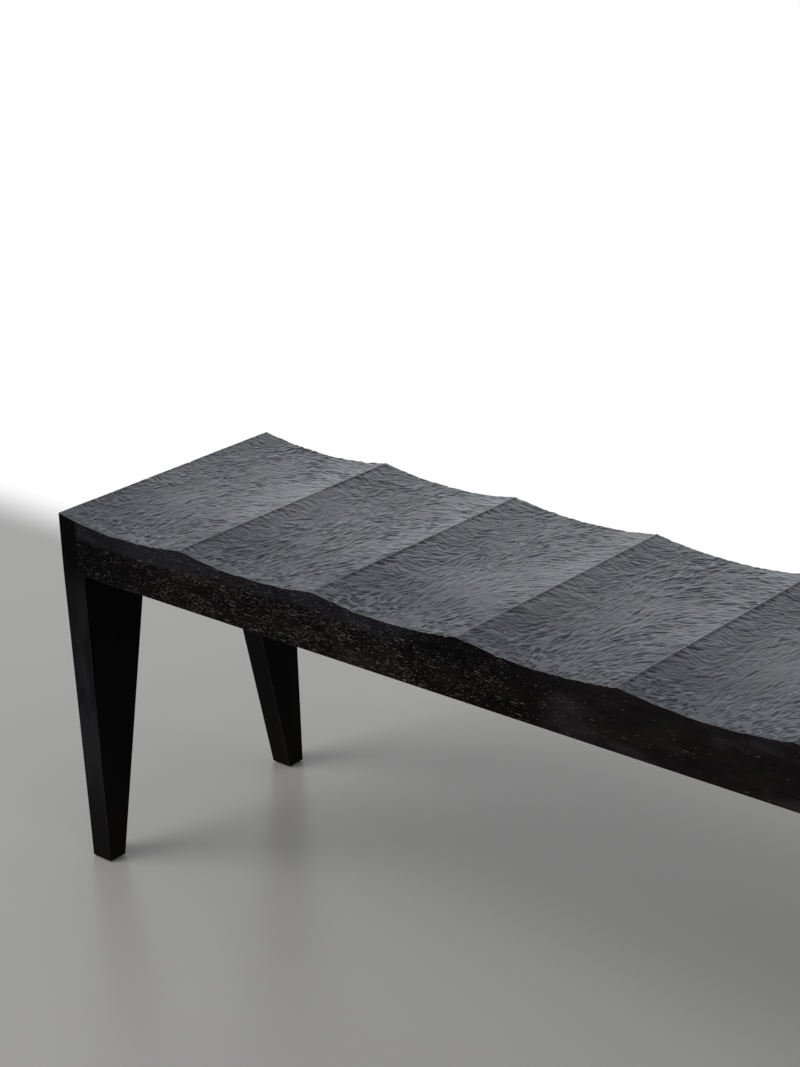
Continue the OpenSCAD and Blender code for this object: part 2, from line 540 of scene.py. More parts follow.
@dataclass(frozen=True)
class StrokeRules:
    """How the gouge strokes lie in a bay, with angles in degrees from X towards Y.

    Beside the ridge on its left a bay's strokes run askew, with short combs along the bench. In its middle
    they run across the bench, and they fan round to the right. They are finer near the front. Where a zone
    starts and how far it reaches is a share of the bay's length from that ridge, or of the bench's width from
    its front. A pair of numbers holds the limits of a random share.
    """

    most_bays: int = 64
    sway: float = 0.04
    wave: float = 0.05
    rise_start: float = 0.05
    rise_reach: float = 0.24
    fan_start: float = 0.5
    fan_lean: float = 0.25
    fan_pivot: float = 0.45
    fan_reach: float = 0.44
    back_start: float = 0.5
    back_reach: float = 0.4
    front_stop: float = 0.17
    front_reach: float = 0.09
    restless_at: float = 0.35
    restless_reach: float = 0.16
    restless_start: float = 0.35
    restless_rise: float = 0.3
    ridge_reach: float = 0.3
    askew: float = 28.0
    across: float = 90.0
    fanned: float = 16.0
    across_turn: float = 22.0
    fanned_turn: float = 26.0
    comb: float = -12.0
    comb_zone: float = 0.16
    comb_share: float = 0.55
    spread: float = 10.0
    restless_spread: float = 16.0
    front_spread: float = 14.0
    comb_spread: float = -3.0
    length: float = 22 * MM
    comb_shorter: float = 5 * MM
    fan_longer: float = 6 * MM
    front_shorter: float = 11 * MM
    restless_shorter: float = 5 * MM
    spacing: float = 5.1 * MM
    fan_wider: float = 1.9 * MM
    front_closer: float = 1.0 * MM
    depth: float = 0.88
    fan_deeper: float = 0.36
    front_shallower: float = 0.06
    ridge_depth: float = 0.8
    bend: float = 6.0
    lengths: tuple[float, float] = (0.65, 1.3)
    spacings: tuple[float, float] = (0.8, 1.25)
    depths: tuple[float, float] = (0.55, 1.2)
    per_bunch: tuple[int, int] = (2, 6)
    aside: float = 0.12
    ahead: float = 0.22
    turn: float = 0.08
    push_lengths: tuple[float, float] = (0.35, 0.65)
    push_widths: tuple[float, float] = (0.52, 0.66)
    push_depths: tuple[float, float] = (0.7, 1.1)
    push_fade: float = 0.7
    cut_lengths: tuple[float, float] = (0.25, 0.6)
    cut_widths: tuple[float, float] = (0.75, 1.05)
    cut_reach: tuple[float, float] = (1.6, 2.4)
    cut_depth_form: float = 2.0
    cut_depth_scale: float = 0.10


@dataclass(frozen=True)
class Strokes:
    """Direction, length, spacing, depth and bend of a number of strokes."""

    angle: np.ndarray
    length: np.ndarray
    spacing: np.ndarray
    depth: np.ndarray
    bend: np.ndarray


@dataclass
class CarvedTop:
    """The carved upper surface that every piece under it shares.

    The row of scoops, the gouge strokes and the worn rim are worked out once, on one net of lines, and each
    piece is then cut with its own part of that net, so that the strokes run on from piece to piece. Insets,
    sizes and depths that stand in brackets are in millimetres.
    """

    plan: Plan
    rules: StrokeRules = StrokeRules()
    bay_pitch: float = 200 * MM
    scoop_depth: float = 9 * MM
    ridge_flat: float = 1.5 * MM
    ridge_round: float = 1.0 * MM
    front_round: float = 6 * MM
    back_round: float = 2.5 * MM
    front_reach: float = 22 * MM
    cell: float = 1.2 * MM
    margin: float = 3 * MM
    lid: float = 4 * MM
    skim: float = 0.05 * MM
    ridge_guard: float = 3.2 * MM
    ridge_least: float = 0.08
    stroke_depth: float = 1.1 * MM
    deepest_cut: float = 0.8 * MM
    # Depth at which a single cut's painted shade is at its darkest.
    dark_cut: float = 0.85 * MM
    crest_reach: int = 5
    crest_share: float = 0.9
    rim_round: float = 0.9 * MM
    rim_swing: float = 0.16
    rim_limits: tuple[float, float] = (0.55, 1.6)
    rim_drop: float = 0.8
    rim_skirt: float = 0.4 * MM
    rim_insets: tuple[float, ...] = (0.16, 0.4, 0.75, 1.2, 1.9)
    rim_waves: int = 7
    wave_heights: tuple[float, float] = (0.4, 1.0)
    wave_turns: tuple[float, float] = (20, 160)
    wear_level: float = 0.5
    wear_swing: float = 0.3
    wear_limits: tuple[float, float] = (0.1, 1)
    bunch_count: int = 5000
    cut_count: int = 5200
    calm_count: int = 420
    calm_sizes: tuple[float, float] = (14, 34)
    calm_reach: float = 2.6
    calm_swing: float = 0.2
    calm_limits: tuple[float, float] = (0.3, 1.4)
    nick_count: int = 90
    nick_sizes: tuple[float, float] = (0.8, 2.4)
    nick_depths: tuple[float, float] = (0.15, 0.6)
    nick_reach: float = 3
    nick_bare: float = 0.6 * MM
    nicks_on_long_sides: float = 0.8
    seed: int = 41
    xs: np.ndarray = field(init=False)
    ys: np.ndarray = field(init=False)
    heights: np.ndarray = field(init=False)
    crest: np.ndarray = field(init=False)
    wear: np.ndarray = field(init=False)

    def __post_init__(self) -> None:
        """Lays out the net and carves it."""
        rng = np.random.default_rng(self.seed)
        self.xs, self.ys = self.lengthwise_lines(), self.crosswise_lines()
        troughs, cuts = self.gouge_strokes(rng), self.single_cuts(rng)
        rim, self.wear = self.worn_rim(rng)
        troughs, cuts = troughs * self.calmness(rng), cuts * self.ridge_share()
        self.heights = self.scoops() - self.skim - troughs - cuts - rim
        # The crest value lightens the finish on crests, partly as worn stain and partly as painted sheen, and
        # darkens it in single cuts as painted shade.
        above = (local_mean(troughs, self.crest_reach) - troughs) * self.ridge_share()
        above = above / (self.crest_share * self.stroke_depth)
        self.crest = np.clip(0.5 + above - cuts / self.dark_cut, 0, 1)

    @property
    def bays(self) -> int:
        """Number of scoops in the row."""
        return round(2 * self.plan.half_length / self.bay_pitch)

    def net_lines(self, marks: Sequence[tuple[float, bool]]) -> np.ndarray:
        """Spreads the lines of the net over one axis.

        Args:
            marks: Places in rising order, each with True where a line lies on it and False where it falls
                midway between two lines, as at the faces of the pieces.

        Returns:
            The places of the lines, in rising order.
        """
        lines: list[float] = []
        for (start, on_start), (stop, on_stop) in zip(marks, marks[1:]):
            lead, tail = 0.0 if on_start else 0.5, 0.0 if on_stop else 0.5
            least = 1 if on_start and on_stop else 0
            whole = max(least, round((stop - start) / self.cell - lead - tail))
            step = (stop - start) / (whole + lead + tail)
            lines += [start + (lead + place) * step for place in range(whole + 1)]
        return np.unique(np.round(lines, 7))

    def symmetric_marks(self, half: float, faces: Sequence[float],
                        middle: Sequence[tuple[float, bool]]) -> list[tuple[float, bool]]:
        """Marks of one axis, with lines that follow the rounded rim at both ends.

        Args:
            half: Half the bench's size along the axis.
            faces: Insets of the pieces' faces from its ends.
            middle: The marks between them.

        Returns:
            All marks in rising order.
        """
        low = [(-half - self.margin, True), (-half - self.rim_skirt, True), (-half, False)]
        low += [(-half + inset * MM, True) for inset in self.rim_insets]
        low += [(-half + inset, False) for inset in faces]
        return [*low, *middle, *((-place, on) for place, on in reversed(low))]

    def lengthwise_lines(self) -> np.ndarray:
        """Lines across the bench, with a close set at each ridge.

        Returns:
            Their places along it.
        """
        plan, ridges = self.plan, []
        for ridge in range(1, self.bays):
            middle = ridge * self.bay_pitch - plan.half_length
            ridges += [(middle + side * self.ridge_flat / 2, True) for side in (-1, 0, 1)]
        faces = (plan.rim, plan.leg_thick - Joinery.housing, plan.leg_thick)
        return self.net_lines(self.symmetric_marks(plan.half_length, faces, ridges))

    def crosswise_lines(self) -> np.ndarray:
        """Lines along the bench, with the boards' edges midway between two of them."""
        faces = (self.plan.rim, self.plan.leg_wide)
        return self.net_lines(self.symmetric_marks(self.plan.half_width, faces, [(0.0, False)]))

    def from_ridge(self) -> np.ndarray:
        """Distance of each point of the net from the nearest ridge."""
        half = self.bay_pitch / 2
        return np.abs((self.grid()[0] + self.plan.half_length + half) % self.bay_pitch - half)

    def grid(self) -> tuple[np.ndarray, np.ndarray]:
        """Places of the net's points along and across the bench."""
        return np.meshgrid(self.xs, self.ys)

    def ridge_share(self) -> np.ndarray:
        """Share of the full depth that the strokes reach beside a ridge, which they leave standing."""
        away = smooth_step(self.from_ridge() / self.ridge_guard)
        return self.ridge_least + (1 - self.ridge_least) * away

    def scoops(self) -> np.ndarray:
        """Works out the plain scoops, whose ridges soften towards the two long sides.

        Returns:
            Their heights, on the net.
        """
        plan, half = self.plan, self.bay_pitch / 2
        x, y = self.grid()
        from_front = np.clip((y + plan.half_width) / self.front_reach, 0, 1)
        from_back = np.clip((plan.half_width - y) / self.front_reach, 0, 1)
        soft = self.ridge_round
        soft = soft + (self.front_round - self.ridge_round) * (1 - from_front) ** 2
        soft = soft + (self.back_round - self.ridge_round) * (1 - from_back) ** 2
        soft = np.where(np.abs(x) > plan.half_length - half / 2, self.ridge_round, soft)
        eased = np.minimum(np.sqrt(self.from_ridge() ** 2 + soft**2), half)
        return plan.top - self.scoop_depth * (1 - ((half - eased) / half) ** 2)

    def stroke_plan(self, x: np.ndarray, y: np.ndarray, rng: np.random.Generator) -> Strokes:
        """Lays strokes out at given places by the rules.

        Args:
            x: Places along the bench.
            y: Places across the bench.
            rng: Source of the unevenness.

        Returns:
            The strokes, one for each place.
        """
        rules, along = self.rules, (x + self.plan.half_length) / self.bay_pitch
        bay = np.clip(np.floor(along), 0, self.bays - 1).astype(int)
        t, s = along - bay, (y + self.plan.half_width) / (2 * self.plan.half_width)
        sway = rng.normal(0, rules.sway, rules.most_bays)[bay]
        sway = sway + rules.wave * np.sin(8 * s + 6 * rng.random(rules.most_bays)[bay])
        rise = smooth_step((t + sway - rules.rise_start) / rules.rise_reach)
        lean = rules.fan_lean * (s - rules.fan_pivot)
        fan = smooth_step((t + sway - rules.fan_start + lean) / rules.fan_reach)
        back = np.clip((s - rules.back_start) / rules.back_reach, 0, 1)
        front = np.clip((rules.front_stop - s) / rules.front_reach, 0, 1)
        comb = (t < rules.comb_zone) & (rng.random(x.shape) < rules.comb_share)
        peak, end = rules.across - rules.across_turn * back, rules.fanned - rules.fanned_turn * back
        angle = rules.askew + (peak - rules.askew) * rise - (peak - end) * fan
        angle = np.where(comb, rules.comb, angle)
        restless = np.exp(-(((t - rules.restless_at) / rules.restless_reach) ** 2))
        restless = restless * np.clip((s - rules.restless_start) / rules.restless_rise, 0, 1)
        spread = (rules.spread + rules.restless_spread * restless + rules.front_spread * front
                  + rules.comb_spread * comb)
        length = (rules.length - rules.comb_shorter * comb + rules.fan_longer * fan
                  - rules.front_shorter * front - rules.restless_shorter * restless)
        spacing = rules.spacing + rules.fan_wider * fan - rules.front_closer * front
        depth = rules.depth + rules.fan_deeper * fan - rules.front_shallower * front
        past_ridge = smooth_step(t / rules.ridge_reach)
        depth = depth * (rules.ridge_depth + (1 - rules.ridge_depth) * past_ridge) * self.stroke_depth
        return Strokes(
            angle=np.radians(angle + spread * rng.normal(0, 1, x.shape)),
            length=length * rng.uniform(*rules.lengths, x.shape),
            spacing=spacing * rng.uniform(*rules.spacings, x.shape),
            depth=depth * rng.uniform(*rules.depths, x.shape),
            bend=rng.normal(0, rules.bend, x.shape),
        )

    def empty_net(self) -> np.ndarray:
        """A net of zeros."""
        return np.zeros((len(self.ys), len(self.xs)))

    def stamp(self, net: np.ndarray, place: tuple[float, float], angle: float, reach: tuple[float, float],
              shape: Shape, join: np.ufunc = np.add) -> None:
        """Adds one stroke to the net.

        Args:
            net: The values that the stroke is joined to.
            place: Its middle, along and across the bench.
            angle: Its direction, from X towards Y.
            reach: How far it runs along and across itself.
            shape: Takes the places along and across the stroke and gives its height.
            join: Adds the stroke's height to the net's, or keeps the greater of the two.
        """
        (x, y), cosine, sine = place, math.cos(angle), math.sin(angle)
        wide = reach[0] * abs(cosine) + reach[1] * abs(sine)
        deep = reach[0] * abs(sine) + reach[1] * abs(cosine)
        left, right = np.searchsorted(self.xs, (x - wide, x + wide))
        near, far = np.searchsorted(self.ys, (y - deep, y + deep))
        dx, dy = self.xs[left:right] - x, self.ys[near:far, None] - y
        part = net[near:far, left:right]
        join(part, shape(dx * cosine + dy * sine, dy * cosine - dx * sine), out=part)

    def scatter(self, count: int, rng: np.random.Generator) -> tuple[np.ndarray, np.ndarray]:
        """Gives random places on the top, a little past its rim."""
        half_x, half_y = self.plan.half_length + self.margin, self.plan.half_width + self.margin
        return rng.uniform(-half_x, half_x, count), rng.uniform(-half_y, half_y, count)

    def gouge_strokes(self, rng: np.random.Generator) -> np.ndarray:
        """Cuts bunches of a few parallel gouge strokes all over the top.

        Args:
            rng: Source of the unevenness.

        Returns:
            How deep the deepest stroke at each place of the net goes.
        """
        net, rules = self.empty_net(), self.rules
        x, y = self.scatter(self.bunch_count, rng)
        plan = self.stroke_plan(x, y, rng)
        for i in range(self.bunch_count):
            spacing, members = plan.spacing[i], rng.integers(*rules.per_bunch)
            across = (np.arange(members) - (members - 1) / 2 + rng.normal(0, rules.aside, members)) * spacing
            along = rng.normal(0, rules.ahead, members) * plan.length[i]
            turns = plan.angle[i] + rng.normal(0, rules.turn, members)
            for ahead, aside, turn in zip(along, across, turns):
                long = plan.length[i] * rng.uniform(*rules.push_lengths)
                broad = spacing * rng.uniform(*rules.push_widths)
                depth, bend = plan.depth[i] * rng.uniform(*rules.push_depths), plan.bend[i]
                cosine, sine = math.cos(turn), math.sin(turn)

                def trough(u: np.ndarray, v: np.ndarray) -> np.ndarray:
                    """The hollow that one push of the gouge leaves."""
                    hollow = np.clip(1 - ((v + bend * u * u) / broad) ** 2, 0, 1)
                    return depth * hollow * np.clip(1 - (u / long) ** 2, 0, 1) ** rules.push_fade

                place = x[i] + ahead * cosine - aside * sine, y[i] + ahead * sine + aside * cosine
                self.stamp(net, place, turn, (long, broad + abs(bend) * long**2), trough, np.maximum)
        return net

    def single_cuts(self, rng: np.random.Generator) -> np.ndarray:
        """Deepens short single cuts that stand out of the ripples.

        Args:
            rng: Source of the unevenness.

        Returns:
            Their depth, on the net.
        """
        net, rules = self.empty_net(), self.rules
        x, y = self.scatter(self.cut_count, rng)
        plan = self.stroke_plan(x, y, rng)
        depth = rng.gamma(rules.cut_depth_form, rules.cut_depth_scale, self.cut_count) * MM
        for i in range(self.cut_count):
            long = rng.uniform(*rules.cut_lengths) * plan.length[i]
            broad = rng.uniform(*rules.cut_widths) * MM
            reach = rules.cut_reach[0] * long, rules.cut_reach[1] * broad

            def cut(u: np.ndarray, v: np.ndarray) -> np.ndarray:
                """One narrow groove."""
                return depth[i] * np.exp(-((u / long) ** 2) ** 2 - (v / broad) ** 2)

            self.stamp(net, (x[i], y[i]), plan.angle[i], reach, cut)
        return np.minimum(net, self.deepest_cut)

    def calmness(self, rng: np.random.Generator) -> np.ndarray:
        """Varies the strokes' depth slowly over the top, with soft round patches.

        Args:
            rng: Source of the unevenness.

        Returns:
            Share of the full depth, on the net.
        """
        net = self.empty_net()
        x, y = self.scatter(self.calm_count, rng)
        sign = rng.choice((-1.0, 1.0), self.calm_count)
        for i in range(self.calm_count):
            size = rng.uniform(*self.calm_sizes) * MM
            self.stamp(net, (x[i], y[i]), 0.0, (self.calm_reach * size, self.calm_reach * size),
                       lambda u, v: sign[i] * np.exp(-0.5 * (u * u + v * v) / (size * size)))
        return np.clip(1 + self.calm_swing * net / net.std(), *self.calm_limits) * self.ridge_share()

    def worn_rim(self, rng: np.random.Generator) -> tuple[np.ndarray, np.ndarray]:
        """Rounds the rim of the top over, by hand and not quite evenly.

        Args:
            rng: Source of the unevenness.

        Returns:
            How far the surface drops near the rim, and how worn it is there, from 0 to 1.
        """
        (x, y), half = self.grid(), (self.plan.half_length, self.plan.half_width)
        inset = np.maximum(np.minimum(half[0] - np.abs(x), half[1] - np.abs(y)), 0)
        heights, turns = self.wave_heights, self.wave_turns
        sway = sum(
            rng.uniform(*heights)
            * np.sin(x * rng.uniform(*turns) + y * rng.uniform(*turns) + rng.uniform(0, 6))
            for _ in range(self.rim_waves)
        )
        radius = self.rim_round * np.clip(1 + self.rim_swing * sway, *self.rim_limits)
        short = np.clip(radius - inset, 0, None)
        drop = radius - np.sqrt(np.maximum(radius**2 - short**2, 0))
        drop = np.minimum(drop, self.rim_drop * radius)
        nicks = np.zeros_like(drop)
        for _ in range(self.nick_count):
            on_long, side = rng.random() < self.nicks_on_long_sides, rng.choice((-1.0, 1.0))
            if on_long:
                place = rng.uniform(-half[0], half[0]), side * half[1]
            else:
                place = side * half[0], rng.uniform(-half[1], half[1])
            size, depth = rng.uniform(*self.nick_sizes) * MM, rng.uniform(*self.nick_depths) * MM
            self.stamp(nicks, place, 0.0, (self.nick_reach * size, self.nick_reach * size),
                       lambda u, v: depth * np.exp(-(u * u + v * v) / (size * size)))
        wear = np.clip(self.wear_level + self.wear_swing * sway, *self.wear_limits)
        wear = np.exp(-((inset / MM) ** 2)) * wear
        return drop + nicks, np.clip(wear + nicks / self.nick_bare, 0, 1)

    def span(self, lines: np.ndarray, low: float, high: float) -> slice:
        """Lines that cover a piece between two places, with some to spare."""
        first = max(np.searchsorted(lines, low - self.margin) - 1, 0)
        return slice(first, np.searchsorted(lines, high + self.margin) + 1)

    def cutter(self, low: Sequence[float], high: Sequence[float]) -> bpy.types.Object:
        """Builds the solid whose underside is the carved surface over one piece.

        Args:
            low: Lowest corner of the piece.
            high: Highest corner of the piece.

        Returns:
            A closed solid that covers the piece from above.
        """
        columns, rows = self.span(self.xs, low[0], high[0]), self.span(self.ys, low[1], high[1])
        xs, ys, heights = self.xs[columns], self.ys[rows], self.heights[rows, columns]
        deselect_all()
        bpy.ops.mesh.primitive_grid_add(x_subdivisions=len(xs) - 1, y_subdivisions=len(ys) - 1, size=1)
        sheet = settle("carving_cut")
        grid = points_of(sheet)
        column = np.rint((grid[:, 0] + 0.5) * (len(xs) - 1)).astype(int)
        row = np.rint((grid[:, 1] + 0.5) * (len(ys) - 1)).astype(int)
        places = np.stack((xs[column], ys[row], heights[row, column]), axis=1)
        sheet.data.vertices.foreach_set("co", places.ravel())
        with editing(sheet):
            bpy.ops.mesh.select_non_manifold(extend=False, use_wire=False, use_boundary=True,
                                             use_multi_face=False, use_non_contiguous=False, use_verts=False)
            bpy.ops.mesh.extrude_edges_move()
            for vert in bmesh.from_edit_mesh(sheet.data).verts:
                if vert.select:
                    vert.co.z = self.plan.top + self.lid
            bpy.ops.mesh.edge_face_add()
            face_outwards()
        return sheet

    def carve(self, piece: bpy.types.Object) -> None:
        """Cuts a piece's top to the carved surface and keeps what the finish needs to know about it.

        The crest and the wear of the surface become attributes of the piece's points.

        Args:
            piece: The piece, where it stands.
        """
        points = points_of(piece)
        sheet = paint_all(self.cutter(points.min(0), points.max(0)), Skin.CARVED)
        wear_skins(sheet, piece.data.materials)
        combine(piece, [sheet])
        place = points_of(piece)
        for name, net in (("crest", self.crest), ("wear", self.wear)):
            layer = piece.data.attributes.new(name, "FLOAT", "POINT")
            layer.data.foreach_set("value", self.sample(net, place[:, 0], place[:, 1]).astype(np.float32))

    def sample(self, net: np.ndarray, x: np.ndarray, y: np.ndarray) -> np.ndarray:
        """Reads the net between its lines.

        Args:
            net: The values.
            x: Places along the bench.
            y: Places across the bench.

        Returns:
            A value for each place.
        """
        column = np.clip(np.searchsorted(self.xs, x) - 1, 0, len(self.xs) - 2)
        row = np.clip(np.searchsorted(self.ys, y) - 1, 0, len(self.ys) - 2)
        right = np.clip((x - self.xs[column]) / (self.xs[column + 1] - self.xs[column]), 0, 1)
        up = np.clip((y - self.ys[row]) / (self.ys[row + 1] - self.ys[row]), 0, 1)
        front = net[row, column] * (1 - right) + net[row, column + 1] * right
        back = net[row + 1, column] * (1 - right) + net[row + 1, column + 1] * right
        return front * (1 - up) + back * up


def points_of(piece: bpy.types.Object) -> np.ndarray:
    """Reads the places of a mesh's points.

    Args:
        piece: The mesh.

    Returns:
        A row for each point.
    """
    flat = np.empty(len(piece.data.vertices) * 3)
    piece.data.vertices.foreach_get("co", flat)
    return flat.reshape(-1, 3)


class Wire:
    """Output of a node, which can be reckoned with."""

    def __init__(self, tree: "NodeTree", socket: bpy.types.NodeSocket) -> None:
        """Keeps the socket and its tree."""
        self.tree, self.socket = tree, socket

    def __add__(self, other: object) -> "Wire":
        """The sum."""
        return self.tree.reckon("ADD", self, other)

    def __sub__(self, other: object) -> "Wire":
        """The difference."""
        return self.tree.reckon("SUBTRACT", self, other)

    def __mul__(self, other: object) -> "Wire":
        """The product."""
        return self.tree.reckon("MULTIPLY", self, other)

    def __truediv__(self, other: object) -> "Wire":
        """The quotient."""
        return self.tree.reckon("DIVIDE", self, other)

    def band(self, low: float, high: float, start: float = 0.0, stop: float = 1.0) -> "Wire":
        """Brings a value from one range to another, with soft ends.

        Args:
            low: Start of its own range.
            high: End of its own range.
            start: What it becomes at the start.
            stop: What it becomes at the end.

        Returns:
            The new value.
        """
        node = self.tree.node("MapRange", {"interpolation_type": "SMOOTHSTEP"}, Value=self,
                              From_Min=low, From_Max=high, To_Min=start, To_Max=stop)
        return Wire(self.tree, node.outputs["Result"])


class NodeTree:
    """Node tree with short calls for the nodes that it is made of."""

    def __init__(self, tree: bpy.types.NodeTree) -> None:
        """Empties a tree."""
        self.nodes, self.links = tree.nodes, tree.links
        self.nodes.clear()

    def node(
        self, kind: str, settings: Optional[dict] = None, *wires: object, **named: object
    ) -> bpy.types.Node:
        """Adds a node.

        Args:
            kind: The node's type, without its prefix.
            settings: Its own settings.
            wires: A value or a wire for each of its first inputs.
            named: A value or a wire for other inputs, by name with underscores.

        Returns:
            The node.
        """
        node = self.nodes.new("ShaderNode" + kind)
        for name, value in (settings or {}).items():
            setattr(node, name, value)
        for target, value in zip(node.inputs, wires):
            self.feed(value, target)
        for name, value in named.items():
            self.feed(value, node.inputs[name.replace("_", " ")])
        return node

    def feed(self, value: object, target: bpy.types.NodeSocket) -> None:
        """Wires an input, or sets its value.

        Args:
            value: A wire or a plain value.
            target: The input.
        """
        if isinstance(value, Wire):
            self.links.new(value.socket, target)
        else:
            target.default_value = value

    def read(self, output: str, kind: str, settings: Optional[dict] = None, **named: object) -> Wire:
        """Adds a node and gives one of its outputs."""
        return Wire(self, self.node(kind, settings, **named).outputs[output])

    def reckon(self, operation: str, first: object, second: object) -> Wire:
        """Works out two values with one arithmetic operation."""
        return Wire(self, self.node("Math", {"operation": operation}, first, second).outputs[0])

    def mixed(self, share: Wire, first: Wire, second: Wire) -> Wire:
        """Mixes two shaders."""
        return Wire(self, self.node("MixShader", None, share, first, second).outputs[0])


class ShaderTree(NodeTree):
    """Node tree of one finish."""

    noise_roughness: float = 0.55
    mark_turn: Point = (0.6, 0.8, 0.4)

    def __init__(self, name: str, grain: Grain = Grain.ALONG_X) -> None:
        """Makes a material with a shader and its output.

        Args:
            name: The material's name.
            grain: Which way the fibres of the wood run.
        """
        self.material, self.grain = bpy.data.materials.new(name), grain
        self.material.use_nodes = True
        super().__init__(self.material.node_tree)
        self.output = self.node("OutputMaterial")
        self.shader = self.node("BsdfPrincipled")
        self.links.new(self.shader.outputs["BSDF"], self.output.inputs["Surface"])

    def place(self, scale: Point, shift: Point = (0, 0, 0), grained: bool = True) -> Wire:
        """Gives the place on the bench, shifted and scaled.

        Args:
            scale: Units for each metre along X, Y and Z.
            shift: Units added to them.
            grained: First turns the place, so that the fibres run along X.

        Returns:
            The place.
        """
        source = self.read("Object", "TexCoord")
        if grained and self.grain is not Grain.ALONG_X:
            source = self.read("Vector", "Mapping", Vector=source, Rotation=self.grain.value)
        return self.read("Vector", "Mapping", Vector=source, Location=shift, Scale=scale)

    def noise(self, scale: Point, detail: float, twist: float = 0.0, **options: object) -> Wire:
        """Soft noise of about one wave per unit of a place, which the options are for."""
        return self.read("Fac", "TexNoise", Vector=self.place(scale, **options), Scale=1.0, Detail=detail,
                         Roughness=self.noise_roughness, Distortion=twist)

    def blend(self, share: object, first: object, second: object) -> Wire:
        """Mixes two colours.

        Args:
            share: Share of the second.
            first: A wire or a colour.
            second: A wire or a colour.

        Returns:
            The mixed colour.
        """
        node = self.node("Mix", {"data_type": "RGBA"}, share)
        for colour, target in ((first, node.inputs[6]), (second, node.inputs[7])):
            self.feed(colour if isinstance(colour, Wire) else (*colour, 1.0), target)
        return Wire(self, node.outputs[2])

    def layer(self, name: str) -> Wire:
        """Reads one of the carved surface's own values."""
        return self.read("Fac", "Attribute", {"attribute_name": name})

    def axis(self, name: str) -> Wire:
        """Reads one coordinate of the place on the bench."""
        return self.read(name, "SeparateXYZ", Vector=self.read("Object", "TexCoord"))

    def dashes(self, scale: Point, share: object, reach: float = 0.3, faint: float = 1.0,
               shift: Point = (0, 0, 0)) -> Wire:
        """Short marks scattered along the fibres, up to 1 inside a mark and 0 outside.

        Args:
            scale: Marks for each metre along and across the fibres.
            share: Share of the places that hold a mark.
            reach: Size of a mark, in units.
            faint: How strong the faintest mark is.
            shift: Units added to the place.

        Returns:
            The marks.
        """
        askew = self.read("Vector", "Mapping", Vector=self.place(scale, shift), Rotation=self.mark_turn)
        cells = self.node("TexVoronoi", {"feature": "F1"}, Vector=askew, Scale=1.0, Randomness=1.0)
        chance = self.node("SeparateColor", None, Wire(self, cells.outputs["Color"]))
        first, second, third = (Wire(self, output) for output in chance.outputs[:3])
        kept = self.reckon("LESS_THAN", first, share)
        inside = Wire(self, cells.outputs["Distance"]) / second.band(0.0, 1.0, 0.45 * reach, reach)
        return inside.band(0.55, 1.0, 1.0, 0.0) * kept * third.band(0.15, 1.0, faint, 1.0)

    def dress(self, colour: Wire, roughness: Wire, height: Wire, depth: float, strength: float) -> None:
        """Wires the shader.

        Args:
            colour: Its colour.
            roughness: Its roughness.
            height: Relief of the surface, and of a coat over it.
            depth: Metres that a unit of relief stands for.
            strength: How strongly the relief shows.
        """
        self.feed(colour, self.shader.inputs["Base Color"])
        self.feed(roughness, self.shader.inputs["Roughness"])
        bump = self.read("Normal", "Bump", Height=height, Distance=depth, Strength=strength)
        for name in ("Normal", "Coat Normal"):
            self.feed(bump, self.shader.inputs[name])


@dataclass(frozen=True)
class Finish:
    """What all finishes have."""

    name: str
    grain: Grain = Grain.ALONG_X
    gloss: float = 0.5
    metal: float = 0.0
    coat_roughness: float = 0.03

    def material(self) -> bpy.types.Material:
        """Builds the finish's material.

        Returns:
            The material.
        """
        tree = ShaderTree(self.name, self.grain)
        tree.shader.inputs["Specular IOR Level"].default_value = self.gloss
        tree.shader.inputs["Metallic"].default_value = self.metal
        tree.shader.inputs["Coat Roughness"].default_value = self.coat_roughness
        self.paint(tree)
        return tree.material

    def paint(self, tree: ShaderTree) -> None:
        """Wires the finish's colour, roughness and relief."""
        raise NotImplementedError


